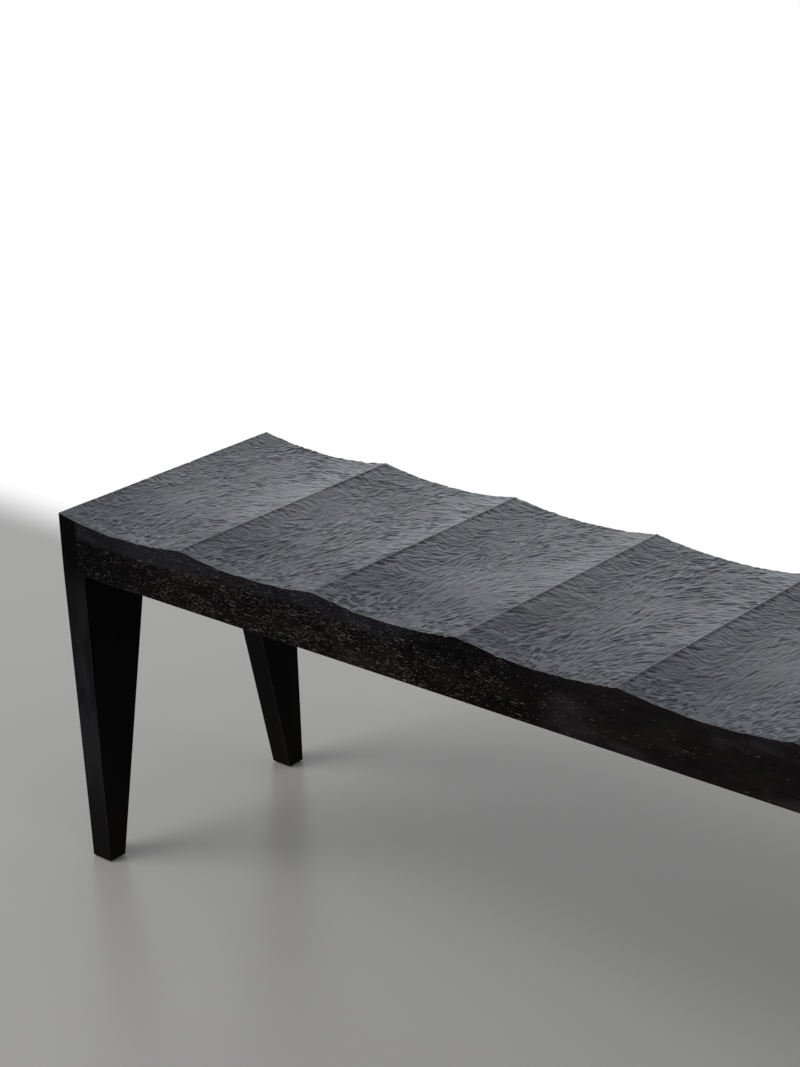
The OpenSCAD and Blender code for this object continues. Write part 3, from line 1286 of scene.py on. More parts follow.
@dataclass(frozen=True)
class CarvedFinish(Finish):
    """Charcoal stain over the gouge strokes under a waxed sheen, lighter on their crests as worn stain and
    painted sheen, darker in grooves and cuts as painted shade, with a painted glint on the sharpest crests.
    """

    name: str = "carved_top"
    gloss: float = 0.6
    coat_roughness: float = 0.36
    # Groove to crest is the stain's own tone together with painted shade in the grooves and painted sheen on
    # the crests; tip is a painted glint on the sharpest crests.
    groove: Colour = (0.007, 0.009, 0.0135)
    crest: Colour = (0.040, 0.047, 0.061)
    tip: Colour = (0.110, 0.124, 0.152)
    tired: Colour = (0.037, 0.034, 0.034)
    pore: Colour = (0.010, 0.010, 0.011)
    worn: Colour = (0.15, 0.15, 0.15)
    coat: float = 1.0
    front_coat: float = 0.36
    middle_share: float = 0.84

    def paint(self, tree: ShaderTree) -> None:
        """Wires the wax, the colour, the roughness and the relief.

        Args:
            tree: The finish's tree.
        """
        wax = tree.axis("Y").band(-0.115, -0.02, self.front_coat, self.coat)
        wax = wax * tree.axis("X").band(-0.42, 0.02, 1.0, self.middle_share)
        tree.feed(wax, tree.shader.inputs["Coat Weight"])
        crest, wear = tree.layer("crest"), tree.layer("wear")
        patches = tree.noise((9, 14, 9), 4, grained=False)
        fibre = tree.noise((240, 620, 620), 3)
        # Painted light on the carving: darker grooves and cuts as painted shade, lighter crests as worn stain
        # and painted sheen, a painted glint where the crest value runs highest.
        lit = fibre * 0.9 + crest
        body = tree.blend(lit.band(0.3, 1.35), self.groove, self.crest)
        body = tree.blend(lit.band(1.12, 1.6), body, self.tip)
        body = tree.blend(patches.band(0.52, 0.75, 0.0, 0.35), body, self.tired)
        pores = tree.dashes((120, 1300, 1300), 0.3)
        body = tree.blend(pores * 0.6, body, self.pore)
        edge = wear * tree.noise((160, 160, 160), 2, grained=False).band(0.3, 0.62)
        body = tree.blend(edge * 0.75, body, self.worn)
        matt = patches.band(0.25, 0.75, 0.42, 0.50) - crest * 0.12
        tree.dress(body, matt, fibre - pores * 0.4, 0.44 * MM, 0.9)


@dataclass(frozen=True)
class Smudge:
    """Where a pale smudge starts and stops along the rail, and how strong it is at least and at most."""

    start: float
    stop: float
    least: float
    most: float


@dataclass(frozen=True)
class RailFinish(Finish):
    """Black-brown stain on open grain, with pale filler left in the pores."""

    name: str = "limed_rail"
    gloss: float = 0.02
    body: Colour = (0.0035, 0.0028, 0.0028)
    brown: Colour = (0.0105, 0.0074, 0.0068)
    cold: Colour = (0.0026, 0.0026, 0.0034)
    filler: Colour = (0.27, 0.258, 0.25)
    # The two strip tones are painted sheen under the carved edge, paler towards the left end.
    strong_sheen: Colour = (0.0205, 0.0197, 0.0240)
    faint_sheen: Colour = (0.0046, 0.0044, 0.0060)
    smudge: Colour = (0.029, 0.0255, 0.026)
    vein: Colour = (0.002, 0.0018, 0.0018)
    smudges: tuple[Smudge, ...] = (Smudge(-0.44, -0.30, 0.0, 0.34), Smudge(-0.12, 0.30, 0.20, 0.86))
    smudge_fade: float = 0.08
    long_share: float = 0.29
    short_share: float = 0.70
    pore_reach: float = 0.48

    def paint(self, tree: ShaderTree) -> None:
        """Wires the colour, the roughness and the relief.

        Args:
            tree: The finish's tree.
        """
        cloud, fibre = tree.noise((11, 34, 34), 4, 0.3), tree.noise((26, 420, 420), 4)
        haze = tree.noise((15, 32, 32), 4, shift=(3, 1, 2))
        upper, along = self.upper_zone(tree), tree.axis("X")
        body = tree.blend(cloud.band(0.42, 0.66), self.body, self.brown)
        body = tree.blend(along.band(-0.78, -0.58, 0.75, 0.0), body, self.cold)
        strip = tree.blend(along.band(-0.31, -0.23), self.strong_sheen, self.faint_sheen)
        # Painted sheen: a paler bluish strip under the carved edge, in hazy patches.
        body = tree.blend(upper * haze.band(0.3, 0.6, 0.35, 0.95), body, strip)
        for spot in self.smudges:
            share = along.band(spot.start, spot.start + self.smudge_fade)
            share = share * along.band(spot.stop, spot.stop + self.smudge_fade, 1.0, 0.0)
            body = tree.blend(share * haze.band(0.42, 0.68, spot.least, spot.most), body, self.smudge)
        body = tree.blend(fibre.band(0.35, 0.7, 0.0, 0.3), body, self.vein)
        pores = self.pores(tree, upper, along)
        body = tree.blend(pores, body, self.filler)
        tree.dress(body, cloud.band(0.3, 0.7, 0.42, 0.56), fibre - pores, 0.06 * MM, 0.6)

    def upper_zone(self, tree: ShaderTree) -> Wire:
        """The strip under the carved edge that takes the painted sheen and fewer pores, with an uneven lower
        limit.
        """
        return (tree.axis("Z") + tree.noise((13, 13, 50), 4, grained=False) * 0.06).band(0.450, 0.462)

    def pores(self, tree: ShaderTree, upper: Wire, along: Wire) -> Wire:
        """Scatters long and short filled pores in clumps, most of them in the left half.

        Args:
            tree: The finish's tree.
            upper: The strip under the carved edge, which has fewer.
            along: Place along the bench.

        Returns:
            The pores.
        """
        clumps = tree.noise((24, 70, 70), 3).band(0.30, 0.62, 0.12, 1.0)
        fewer = along.band(-0.30, 0.04, 1.0, 0.06) * along.band(-0.78, -0.56, 0.3, 1.0)
        share = clumps * fewer * upper.band(0.2, 0.9, 1.0, 0.45)
        long = tree.dashes((85, 2100, 2100), share * self.long_share, self.pore_reach, 0.0)
        short = tree.dashes((330, 2300, 2300), share * self.short_share, self.pore_reach, 0.0, (7, 3, 5))
        return tree.reckon("MAXIMUM", long, short)


@dataclass(frozen=True)
class LegFinish(Finish):
    """Blue-black stain on close grain, with a dull sheen and a paler bluish painted reflection below the
    rail.
    """

    name: str = "leg_black"
    grain: Grain = Grain.ALONG_Z
    gloss: float = 0.02
    body: Colour = (0.0014, 0.0013, 0.0015)
    # pale is a painted reflection: the paler bluish tone of the leg below the rail.
    pale: Colour = (0.0178, 0.0163, 0.0200)
    foot: Colour = (0.0075, 0.0064, 0.0058)
    pore: Colour = (0.022, 0.021, 0.022)

    def paint(self, tree: ShaderTree) -> None:
        """Wires the colour, the roughness and the relief.

        Args:
            tree: The finish's tree.
        """
        streak, fibre = tree.noise((9, 38, 38), 4, 0.4), tree.noise((40, 700, 700), 3)
        height = tree.axis("Z")
        # Painted reflection: the leg turns paler and bluer below the rail, in streaks.
        lightened = streak.band(0.36, 0.62, 0.35, 1.0) * height.band(0.31, 0.40, 1.0, 0.06)
        body = tree.blend(lightened, self.body, self.pale)
        low = height.band(0.04, 0.15, 1.0, 0.0) * streak.band(0.3, 0.6, 0.7, 1.0)
        body = tree.blend(low, body, self.foot)
        pores = tree.dashes((110, 1200, 1200), 0.16)
        body = tree.blend(pores * 0.5, body, self.pore)
        tree.dress(body, streak.band(0.3, 0.7, 0.40, 0.52), fibre - pores, 0.04 * MM, 0.5)


@dataclass(frozen=True)
class ArrisFinish(Finish):
    """Stain worn thin along an eased edge."""

    name: str = "worn_arris"
    gloss: float = 0.25
    body: Colour = (0.008, 0.0075, 0.0078)
    lightened: Colour = (0.050, 0.047, 0.045)

    def paint(self, tree: ShaderTree) -> None:
        """Wires the colour, the roughness and the relief.

        Args:
            tree: The finish's tree.
        """
        patches, specks = tree.noise((60, 60, 60), 4), tree.noise((600, 600, 600), 2, shift=(5, 1, 2))
        body = tree.blend(patches.band(0.46, 0.72) * specks.band(0.35, 0.6), self.body, self.lightened)
        tree.dress(body, patches.band(0.3, 0.7, 0.42, 0.58), specks, 0.03 * MM, 0.4)


@dataclass(frozen=True)
class InnerFinish(Finish):
    """Thin dull stain on machine-planed wood that nobody sees from above."""

    name: str = "inner_black"
    gloss: float = 0.2
    body: Colour = (0.013, 0.0115, 0.011)
    thin: Colour = (0.034, 0.028, 0.024)
    vein: Colour = (0.007, 0.006, 0.006)
    pore: Colour = (0.005, 0.005, 0.005)
    knife_marks: float = 0.4

    def paint(self, tree: ShaderTree) -> None:
        """Wires the colour, the roughness and the relief.

        Args:
            tree: The finish's tree.
        """
        rings, fibre = tree.noise((5, 55, 55), 5, 0.5), tree.noise((45, 800, 800), 3)
        body = tree.blend(rings.band(0.42, 0.68), self.body, self.thin)
        body = tree.blend(fibre.band(0.5, 0.75, 0.0, 0.5), body, self.vein)
        pores = tree.dashes((110, 1200, 1200), 0.25)
        body = tree.blend(pores * 0.7, body, self.pore)
        knives = tree.read("Fac", "TexWave", {"wave_type": "BANDS", "bands_direction": "X"},
                           Vector=tree.place((180, 1, 1)), Scale=1.0, Distortion=0.4, Detail=1.0)
        ripple = knives * self.knife_marks + (fibre - pores)
        tree.dress(body, rings.band(0.3, 0.7, 0.60, 0.72), ripple, 0.05 * MM, 0.5)


@dataclass(frozen=True)
class BareFinish(Finish):
    """Planed wood without any stain, as the splines have."""

    name: str = "bare_wood"
    gloss: float = 0.35
    early: Colour = (0.34, 0.23, 0.13)
    late: Colour = (0.20, 0.125, 0.065)
    pore: Colour = (0.09, 0.055, 0.03)

    def paint(self, tree: ShaderTree) -> None:
        """Wires the colour, the roughness and the relief.

        Args:
            tree: The finish's tree.
        """
        rings, fibre = tree.noise((4, 120, 120), 4, 0.6), tree.noise((40, 900, 900), 3)
        pores = tree.dashes((100, 1300, 1300), 0.3)
        body = tree.blend(pores * 0.6, tree.blend(rings.band(0.4, 0.65), self.early, self.late), self.pore)
        tree.dress(body, fibre.band(0.3, 0.7, 0.55, 0.68), fibre - pores, 0.05 * MM, 0.6)


@dataclass(frozen=True)
class ZincFinish(Finish):
    """Bright zinc plate on wood screws and nails, a little dulled."""

    name: str = "zinc_plate"
    metal: float = 1.0
    bright: Colour = (0.58, 0.58, 0.59)
    dull: Colour = (0.36, 0.36, 0.37)

    def paint(self, tree: ShaderTree) -> None:
        """Wires the colour, the roughness and the relief.

        Args:
            tree: The finish's tree.
        """
        stains, marks = tree.noise((300, 300, 300), 4), tree.noise((2600, 2600, 2600), 2)
        body = tree.blend(stains.band(0.4, 0.7), self.bright, self.dull)
        tree.dress(body, stains.band(0.3, 0.7, 0.28, 0.46), marks, 0.01 * MM, 0.4)


@dataclass(frozen=True)
class NylonFinish(Finish):
    """Black moulded nylon, matt and scuffed underneath."""

    name: str = "black_nylon"
    gloss: float = 0.4
    body: Colour = (0.012, 0.012, 0.013)
    scuffed: Colour = (0.055, 0.054, 0.052)
    scuff_height: float = 0.9 * MM

    def paint(self, tree: ShaderTree) -> None:
        """Wires the colour, the roughness and the relief.

        Args:
            tree: The finish's tree.
        """
        scuff, pebble = tree.noise((900, 240, 240), 3), tree.noise((3200, 3200, 3200), 1)
        lightened = tree.axis("Z").band(0.0, self.scuff_height, 1.0, 0.0) * scuff.band(0.42, 0.62)
        body = tree.blend(lightened * 0.8, self.body, self.scuffed)
        tree.dress(body, scuff.band(0.3, 0.7, 0.48, 0.64), pebble, 0.02 * MM, 0.5)


def wood_skins() -> dict[str, list[bpy.types.Material]]:
    """Builds every finish once and lists them for each kind of piece, in the order of Skin.

    Returns:
        The lists, by kind of piece.
    """
    x, y, z = Grain
    carved, carved_end = CarvedFinish().material(), CarvedFinish("carved_end", y).material()
    arris = ArrisFinish().material()
    planed = {grain: InnerFinish(f"planed_{grain.word}", grain).material() for grain in (x, y)}
    bored = {grain: InnerFinish(f"cut_{grain.word}", grain, knife_marks=0.0).material() for grain in Grain}
    eased = InnerFinish("planed_arris", thin=(0.050, 0.043, 0.038), knife_marks=0.0).material()
    # Painted shade: a darker copy of the leg finish, with a weaker painted reflection, for the faces that
    # look at the middle of the bench.
    deep = LegFinish("leg_deep_black", pale=(0.0054, 0.0050, 0.0058)).material()
    return {
        "leg": [LegFinish().material(), arris, bored[z], carved, deep],
        "long_rail": [RailFinish().material(), arris, planed[x], carved],
        "end_rail": [RailFinish("limed_end_rail", y).material(), arris, planed[y], carved_end],
        "board": [planed[x], eased, bored[x], carved],
        "bearer": [planed[y], eased, bored[y]],
        "brace": [planed[x], eased, bored[x]],
        "spline": [BareFinish().material()],
        "steel": [ZincFinish().material()],
        "nylon": [NylonFinish().material()],
    }


def turned(
    name: str, profile: Sequence[tuple[float, float]], sides: int, closed: bool = False
) -> bpy.types.Object:
    """Turns a piece round the Z axis by drawing one ring out of the other.

    Args:
        name: The new object's name.
        profile: Radius and height of each ring, in order.
        sides: Number of points in a ring.
        closed: Joins the last ring to the first, for a piece with a hole through it.

    Returns:
        The turned piece.
    """
    deselect_all()
    bpy.ops.mesh.primitive_circle_add(
        vertices=sides, radius=profile[0][0], location=(0, 0, profile[0][1]), fill_type="NOTHING"
    )
    piece = settle(name)
    with editing(piece, everything=True):
        for (radius, height), (next_radius, next_height) in zip(profile, profile[1:]):
            bpy.ops.mesh.extrude_edges_move()
            bpy.ops.transform.translate(value=(0, 0, next_height - height))
            share = next_radius / radius
            bpy.ops.transform.resize(value=(share, share, 1), center_override=(0, 0, next_height))
        if closed:
            select_rims(piece, profile)
            bpy.ops.mesh.bridge_edge_loops()
        else:
            for end in (profile[0], profile[-1]):
                select_rims(piece, [end])
                bpy.ops.mesh.edge_face_add()
        face_outwards()
    return piece


def select_rims(piece: bpy.types.Object, rims: Sequence[tuple[float, float]]) -> None:
    """Selects the open rings of a turned piece that are among given ones.

    Args:
        piece: The piece in edit mode.
        rims: Radius and height of each ring.
    """
    bpy.ops.mesh.select_all(action="DESELECT")
    near = 0.01 * MM
    for edge in bmesh.from_edit_mesh(piece.data).edges:
        first, second = (vert.co for vert in edge.verts)
        height = (first.z + second.z) / 2
        if edge.is_boundary and any(abs(height - z) < near and first.xy.length < r + near for r, z in rims):
            edge.select_set(True)
    bmesh.update_edit_mesh(piece.data)


@dataclass(frozen=True)
class ScrewPlace:
    """Where a screw sits: the top of its head, the way that it points and its length."""

    head: Point
    axis: Point
    length: float

    def at(self, end: End) -> "ScrewPlace":
        """The same screw at one end of the bench."""
        return replace(self, head=(-self.head[0] * end.value, *self.head[1:]))


@dataclass(frozen=True)
class Screw:
    """Countersunk wood screw with a cross recess and a cut thread."""

    shank: float = 4.5 * MM
    head: float = 9 * MM
    head_height: float = 3 * MM
    head_chamfer: float = 0.25 * MM
    head_edge: float = 0.3 * MM
    neck: float = 0.3 * MM
    neck_height: float = 0.8 * MM
    core: float = 3.3 * MM
    pitch: float = 2.0 * MM
    thread_form: float = 1.6
    tip: float = 4 * MM
    tip_round: float = 0.3 * MM
    tip_radius: float = 0.35 * MM
    point_radius: float = 0.12 * MM
    smooth_share: float = 0.42
    rings_per_turn: int = 4
    sides: int = 14
    recess_width: float = 1.1 * MM
    recess_span: float = 4.8 * MM
    recess_depth: float = 1.9 * MM
    recess_taper: float = 0.62

    def build(self, length: float) -> bpy.types.Object:
        """Models one screw that points up from the top of its head.

        Args:
            length: Length from head to tip.

        Returns:
            The screw, at the origin.
        """
        shank, core = self.shank / 2, self.core / 2
        start = self.head_height + self.smooth_share * (length - self.head_height)
        stop = length - self.tip
        rings = round((stop - start) / self.pitch * self.rings_per_turn)
        piece = turned("screw_blank", [
            (self.head / 2 - self.head_chamfer, 0.0), (self.head / 2, self.head_edge),
            (shank + self.neck, self.head_height), (shank, self.head_height + self.neck_height),
            (shank, start), *((shank, start + (stop - start) * ring / rings) for ring in range(1, rings)),
            (core, stop), (self.tip_radius, length - self.tip_round), (self.point_radius, length),
        ], self.sides)
        for vert in piece.data.vertices:
            if start + TOUCH < vert.co.z < stop - TOUCH:
                turn = math.atan2(vert.co.y, vert.co.x) / (2 * math.pi)
                wave = abs(((vert.co.z / self.pitch - turn) % 1.0) * 2 - 1)
                vert.co.xy = vert.co.xy.normalized() * (core + (shank - core) * wave**self.thread_form)
        for turn in (0.0, math.pi / 2):
            slot = add_block("recess", (-self.recess_span / 2, -self.recess_width / 2, -MM),
                             (self.recess_span / 2, self.recess_width / 2, self.recess_depth))
            slot.data.transform(Matrix.Rotation(turn, 4, "Z"))
            with editing(slot, "VERT"):
                pick(slot, "verts", lambda place, _: place.z > 0)
                bpy.ops.transform.resize(
                    value=(self.recess_taper, self.recess_taper, 1), center_override=(0, 0, 0)
                )
            combine(piece, [slot])
        return piece


@dataclass(frozen=True)
class CornerFit:
    """Sizes of block, foot and glide at a corner, and places of the fastenings of the front left one."""

    plan: Plan
    block_length: float = 44 * MM
    block_end: float = 12 * MM
    block_lift: float = 6 * MM
    block_web: float = 8 * MM
    block_edge: float = 10 * MM
    seat_screw_at: float = 15 * MM
    side_bite: float = 12 * MM
    seat_bite: float = 13 * MM
    bore: float = 10 * MM
    foot_thick: float = 30 * MM
    foot_wide: float = 25 * MM
    foot_setback: float = 3 * MM
    glide_radius: float = 9 * MM
    glide_thick: float = 4 * MM
    nail_radius: float = 1.5 * MM
    nail_top: float = 23.6 * MM

    @property
    def block_foot(self) -> float:
        """Height of the block's underside."""
        return self.plan.rail_foot + self.block_lift

    @property
    def foot_middle(self) -> Point:
        """Middle of the foot, on the floor."""
        from_front = self.foot_setback + self.foot_wide / 2
        return self.plan.inwards(self.plan.leg_thick - self.foot_thick / 2, from_front, 0)

    def level_screw(self, x: float, y: float, axis: Point) -> ScrewPlace:
        """A screw that lies level at half the block's height."""
        head = self.plan.inwards(x, y, (self.block_foot + self.plan.ledge) / 2)
        return ScrewPlace(head, axis, self.block_web + self.side_bite)

    @property
    def rail_screw(self) -> ScrewPlace:
        """The screw from block to rail."""
        return self.level_screw(self.plan.leg_thick + self.block_length - self.block_edge,
                                self.plan.rail_thick + self.block_web, TO_FRONT)

    @property
    def leg_screw(self) -> ScrewPlace:
        """The screw from block to leg."""
        return self.level_screw(self.plan.leg_thick + self.block_web,
                                self.plan.rail_thick + self.block_length - self.block_edge, TO_LEFT)

    @property
    def seat_screw(self) -> ScrewPlace:
        """Places the screw from block to seat board.

        Returns:
            The screw.
        """
        plan, inset = self.plan, self.seat_screw_at
        head = plan.inwards(plan.leg_thick + inset, plan.rail_thick + inset, self.block_foot)
        return ScrewPlace(head, UPWARDS, plan.ledge - plan.rail_foot - self.block_lift + self.seat_bite)


@dataclass(frozen=True)
class Workshop:
    """What every sub-assembly works from."""

    plan: Plan
    joints: Joinery
    fit: CornerFit
    screw: Screw
    top: CarvedTop
    skins: dict[str, list[bpy.types.Material]]

    def blank(self, name: str, skins: str, low: Sequence[float], high: Sequence[float]) -> bpy.types.Object:
        """Adds a blank for a wooden piece, with its materials on it.

        Args:
            name: The new object's name.
            skins: The kind of piece, for its materials.
            low: Lowest corner.
            high: Highest corner.

        Returns:
            The blank.
        """
        piece = add_block(name, low, high)
        wear_skins(piece, self.skins[skins])
        return piece

    def cut(self, low: Sequence[float], high: Sequence[float]) -> bpy.types.Object:
        """Adds a block to cut or join with, whose faces show the inner finish."""
        return paint_all(add_block("cut", low, high), Skin.INNER)

    def hole(self, foot: Point, axis: Point, length: float, *radii: float) -> bpy.types.Object:
        """Adds a rod for a hole, of one radius or of one at each end."""
        return paint_all(add_rod("hole", foot, axis, length, (radii[0], radii[-1])), Skin.INNER)

    def pilot(self, screw: ScrewPlace) -> bpy.types.Object:
        """Adds the rod for the hole of a screw's shank."""
        gap = self.joints.hole_gap
        return self.hole(screw.head, screw.axis, screw.length + gap, self.screw.shank / 2 + gap)

    def screw_holes(self, screw: ScrewPlace) -> list[bpy.types.Object]:
        """Adds the solids of one screw's hole: shank, countersink and the way in.

        Args:
            screw: Where the screw sits.

        Returns:
            The solids to cut with.
        """
        gap, through = self.joints.hole_gap, self.joints.through
        shank, head = self.screw.shank / 2 + gap, self.screw.head / 2 + gap
        start = tuple(Vector(screw.head) - Vector(screw.axis) * through)
        return [
            self.pilot(screw),
            self.hole(screw.head, screw.axis, self.screw.head_height, head, shank),
            self.hole(start, screw.axis, through + self.joints.overlap, head),
        ]

    def bearer_screw(self, bearer: Bearer, y: float) -> ScrewPlace:
        """A screw through a bearer into the board over it.

        Args:
            bearer: The bearer.
            y: Its place across the bench.

        Returns:
            The screw.
        """
        low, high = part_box(bearer.node)
        return ScrewPlace((bearer.middle, y, low.z), UPWARDS, high.z - low.z + self.fit.seat_bite)

    def finish(self, piece: bpy.types.Object, slot: Slot, node: str, carved: bool = True) -> None:
        """Carves a wooden piece where it stands, shades it and hands it over.

        Args:
            piece: The piece.
            slot: The record's slot for its finish; not used.
            node: The node that it stands for.
            carved: Whether it reaches the carved top.
        """
        if carved:
            self.top.carve(piece)
        shade_by_skin(piece)
        hand_over(piece, node)


@dataclass
class Legs:
    """Four blade-like legs, wide under the rail and narrow at the foot."""

    shop: Workshop
    arris: float = 0.6 * MM
    facing_in: float = 0.7

    def build(self) -> None:
        """Models the front left leg, mirrors it to the other corners and carves each where it stands."""
        first = self.front_left()
        self.cut_joints(first)
        for corner in CORNERS:
            leg = mirrored(first, f"{corner.word}_leg", corner)
            self.shop.finish(leg, Slot.LEG, f"leg_{corner.word}")
        discard(first)

    def front_left(self) -> bpy.types.Object:
        """Shapes a leg from its blank and paints the faces that look at the middle of the bench darker, as
        painted shade.

        Returns:
            The leg, without its joints.
        """
        plan, fit = self.shop.plan, self.shop.fit
        low, high = plan.inwards(0, 0, plan.leg_foot), plan.inwards(plan.leg_thick, plan.leg_wide, plan.top)
        leg = self.shop.blank("leg_blank", "leg", low, high)
        with editing(leg, "FACE", everything=True):
            bpy.ops.mesh.bisect(plane_co=(0, 0, plan.rail_foot), plane_no=UPWARDS)
        outside, front, back = low[0] + MM, low[1] + MM, high[1] - MM
        foot = plan.leg_foot + MM
        moves: tuple[tuple[Test, Point], ...] = (
            (lambda place, _: place.z < foot and place.x < outside, (plan.leg_thick - fit.foot_thick, 0, 0)),
            (lambda place, _: place.z < foot and place.y < front, (0, fit.foot_setback, 0)),
            (lambda place, _: place.z < foot and place.y > back,
             (0, fit.foot_setback + fit.foot_wide - plan.leg_wide, 0)),
        )
        with editing(leg, "VERT"):
            for meant, way in moves:
                pick(leg, "verts", meant)
                bpy.ops.transform.translate(value=way)
        ease(leg, self.arris, lambda place, way: abs(way.z) > ALONG or place.z < plan.leg_foot + TOUCH)
        # Painted shade on the faces that look at the middle of the bench.
        paint_faces(leg, Skin.DEEP, lambda place, normal: max(normal.x, normal.y) > self.facing_in)
        return leg

    def cut_joints(self, leg: bpy.types.Object) -> None:
        """Lets in the long rail, and cuts the mortises and the holes.

        Args:
            leg: The front left leg.
        """
        shop, plan, joints, fit = self.shop, self.shop.plan, self.shop.joints, self.shop.fit
        inside, through, gap = plan.leg_thick - joints.housing, joints.through, joints.gap
        out = plan.leg_thick + through
        low, high = plan.rail_foot + joints.shoulder - gap, plan.ledge - joints.shoulder + gap
        rail_middle, end_middle, half = plan.rail_thick / 2, plan.end_rail_thick / 2, joints.tenon / 2 + gap
        boxes = (
            ((inside, -through, plan.rail_foot), (out, plan.rail_thick, plan.ledge)),
            ((inside, -through, plan.ledge - MM), (out, plan.rim, plan.top + through)),
            ((joints.mortise_wall, rail_middle - half, low), (inside + MM, rail_middle + half, high)),
            ((end_middle - half, plan.leg_wide - joints.end_tenon - joints.end_gap, low),
             (end_middle + half, plan.leg_wide + through, high)),
        )
        tools = [shop.cut(plan.inwards(*first), plan.inwards(*last)) for first, last in boxes]
        tools += shop.screw_holes(fit.leg_screw)
        wider = joints.hole_gap
        tools.append(shop.hole(fit.foot_middle, UPWARDS, fit.glide_thick, fit.glide_radius + wider))
        tools.append(shop.hole(fit.foot_middle, UPWARDS, fit.nail_top + wider, fit.nail_radius + wider))
        combine(leg, tools)


@dataclass
class Rails:
    """Two long rails let into the legs and two end rails between them, all with a rebate for the boards."""

    shop: Workshop
    arris: float = 0.6 * MM
    bearer_gap: float = 0.15 * MM

    def build(self) -> None:
        """Models one long rail and one end rail, mirrors them and carves all four."""
        long = self.front_rail()
        for flank in Flank:
            rail = mirrored(long, f"long_rail_{flank.word}", Corner(flank=flank))
            self.shop.finish(rail, Slot.RAIL, f"{flank.word}_rail")
        short = self.left_rail()
        for end in End:
            rail = mirrored(short, f"short_rail_{end.word}", Corner(end))
            self.shop.finish(rail, Slot.RAIL, f"end_rail_{end.word}")
        discard(long, short)

    def tenon(self, low: tuple[float, float], high: tuple[float, float]) -> bpy.types.Object:
        """Adds a tenon between the shoulders' heights, given by its corners in plan."""
        plan, shoulder = self.shop.plan, self.shop.joints.shoulder
        return self.shop.cut((*low, plan.rail_foot + shoulder), (*high, plan.ledge - shoulder))

    def front_rail(self) -> bpy.types.Object:
        """Shapes the front rail, its tenons, rebate, bearer notches and screw holes.

        Returns:
            The rail, not carved yet.
        """
        shop, plan, joints = self.shop, self.shop.plan, self.shop.joints
        through, half = joints.through, joints.tenon / 2
        end, front = plan.half_length - (plan.leg_thick - joints.housing), -plan.half_width
        back, middle = front + plan.rail_thick, front + plan.rail_thick / 2
        first, last = (-end, front, plan.rail_foot), (end, back, plan.top)
        rail = shop.blank("long_rail_blank", "long_rail", first, last)
        ease(rail, self.arris, lambda place, way: place.z < plan.rail_foot + TOUCH and abs(way.x) > ALONG
             or place.y < front + TOUCH and abs(way.z) > ALONG)
        paint_faces(rail, Skin.INNER, lambda place, normal: normal.y > ALONG)
        reach = plan.half_length - joints.mortise_wall - joints.end_gap
        spans = [sorted((side.value * reach, side.value * (end - through))) for side in End]
        tenons = [self.tenon((low, middle - half), (high, middle + half)) for low, high in spans]
        combine(rail, tenons, "UNION")
        tools = [shop.cut((-end - through, front + plan.rim, plan.ledge),
                          (end + through, back + through, plan.top + through))]
        for bearer in Bearer:
            low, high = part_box(bearer.node)
            tools.append(shop.cut((low.x - self.bearer_gap, low.y - self.bearer_gap, low.z),
                                  (high.x + self.bearer_gap, back + through, high.z + through)))
        for side in End:
            tools += shop.screw_holes(shop.fit.rail_screw.at(side))
        combine(rail, tools)
        return rail

    def left_rail(self) -> bpy.types.Object:
        """Shapes the left end rail with its tenons and rebate.

        Returns:
            The rail, not carved yet.
        """
        shop, plan, joints = self.shop, self.shop.plan, self.shop.joints
        end, through, half = plan.half_width - plan.leg_wide, joints.through, joints.tenon / 2
        left = -plan.half_length
        inner, middle = left + plan.end_rail_thick, left + plan.end_rail_thick / 2
        rail = shop.blank("end_rail_blank", "end_rail", (left, -end, plan.rail_foot), (inner, end, plan.top))
        ease(rail, self.arris, lambda place, way: place.z < plan.rail_foot + TOUCH and abs(way.y) > ALONG
             or place.x < left + TOUCH and abs(way.z) > ALONG)
        paint_faces(rail, Skin.INNER, lambda place, normal: normal.x > ALONG)
        reach = end + joints.end_tenon
        combine(rail, [self.tenon((middle - half, -reach), (middle + half, reach))], "UNION")
        combine(rail, [shop.cut((left + plan.rim, -end - through, plan.ledge),
                                (inner + through, end + through, plan.top + through))])
        return rail


@dataclass
class SeatPanel:
    """Four boards laid in the rebate, with loose splines between them."""

    shop: Workshop
    arris: float = 0.4 * MM

    def build(self) -> None:
        """Models an outer and an inner board, mirrors them, carves all four and finishes the splines."""
        outer = self.board("seat_board_front", "spline_front")
        combine(outer, [self.shop.pilot(self.shop.fit.seat_screw.at(side)) for side in End])
        inner = self.board("seat_board_front_middle", "spline_front", "spline_middle")
        for flank in Flank:
            for first, name in ((outer, flank.word), (inner, f"{flank.word}_middle")):
                board = mirrored(first, f"board_{name}", Corner(flank=flank))
                self.shop.finish(board, Slot.SEAT, f"seat_board_{name}")
        discard(outer, inner)
        for node in ("spline_front", "spline_middle", "spline_back"):
            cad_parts[node].data.materials[0] = self.shop.skins["spline"][0]
            LOG.info("%s keeps its CAD shape", node)

    def board(self, node: str, *splines: str) -> bpy.types.Object:
        """Shapes one board with its grooves and the holes over the bearers.

        Args:
            node: The board's node.
            splines: Nodes of the splines that it is grooved for.

        Returns:
            The board, not carved yet.
        """
        shop, (low, high) = self.shop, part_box(node)
        gap, end_gap = shop.joints.gap, shop.joints.end_gap
        board = shop.blank("board_blank", "board", low, high)
        ease(board, self.arris, lambda place, way: place.z < low.z + TOUCH and abs(way.x) > ALONG)
        tools = []
        for spline in splines:
            first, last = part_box(spline)
            tools.append(shop.cut((first.x - gap, first.y - end_gap, first.z - gap),
                                  (last.x + gap, last.y + end_gap, last.z + gap)))
        tools += [shop.pilot(shop.bearer_screw(bearer, (low.y + high.y) / 2)) for bearer in Bearer]
        combine(board, tools)
        return board


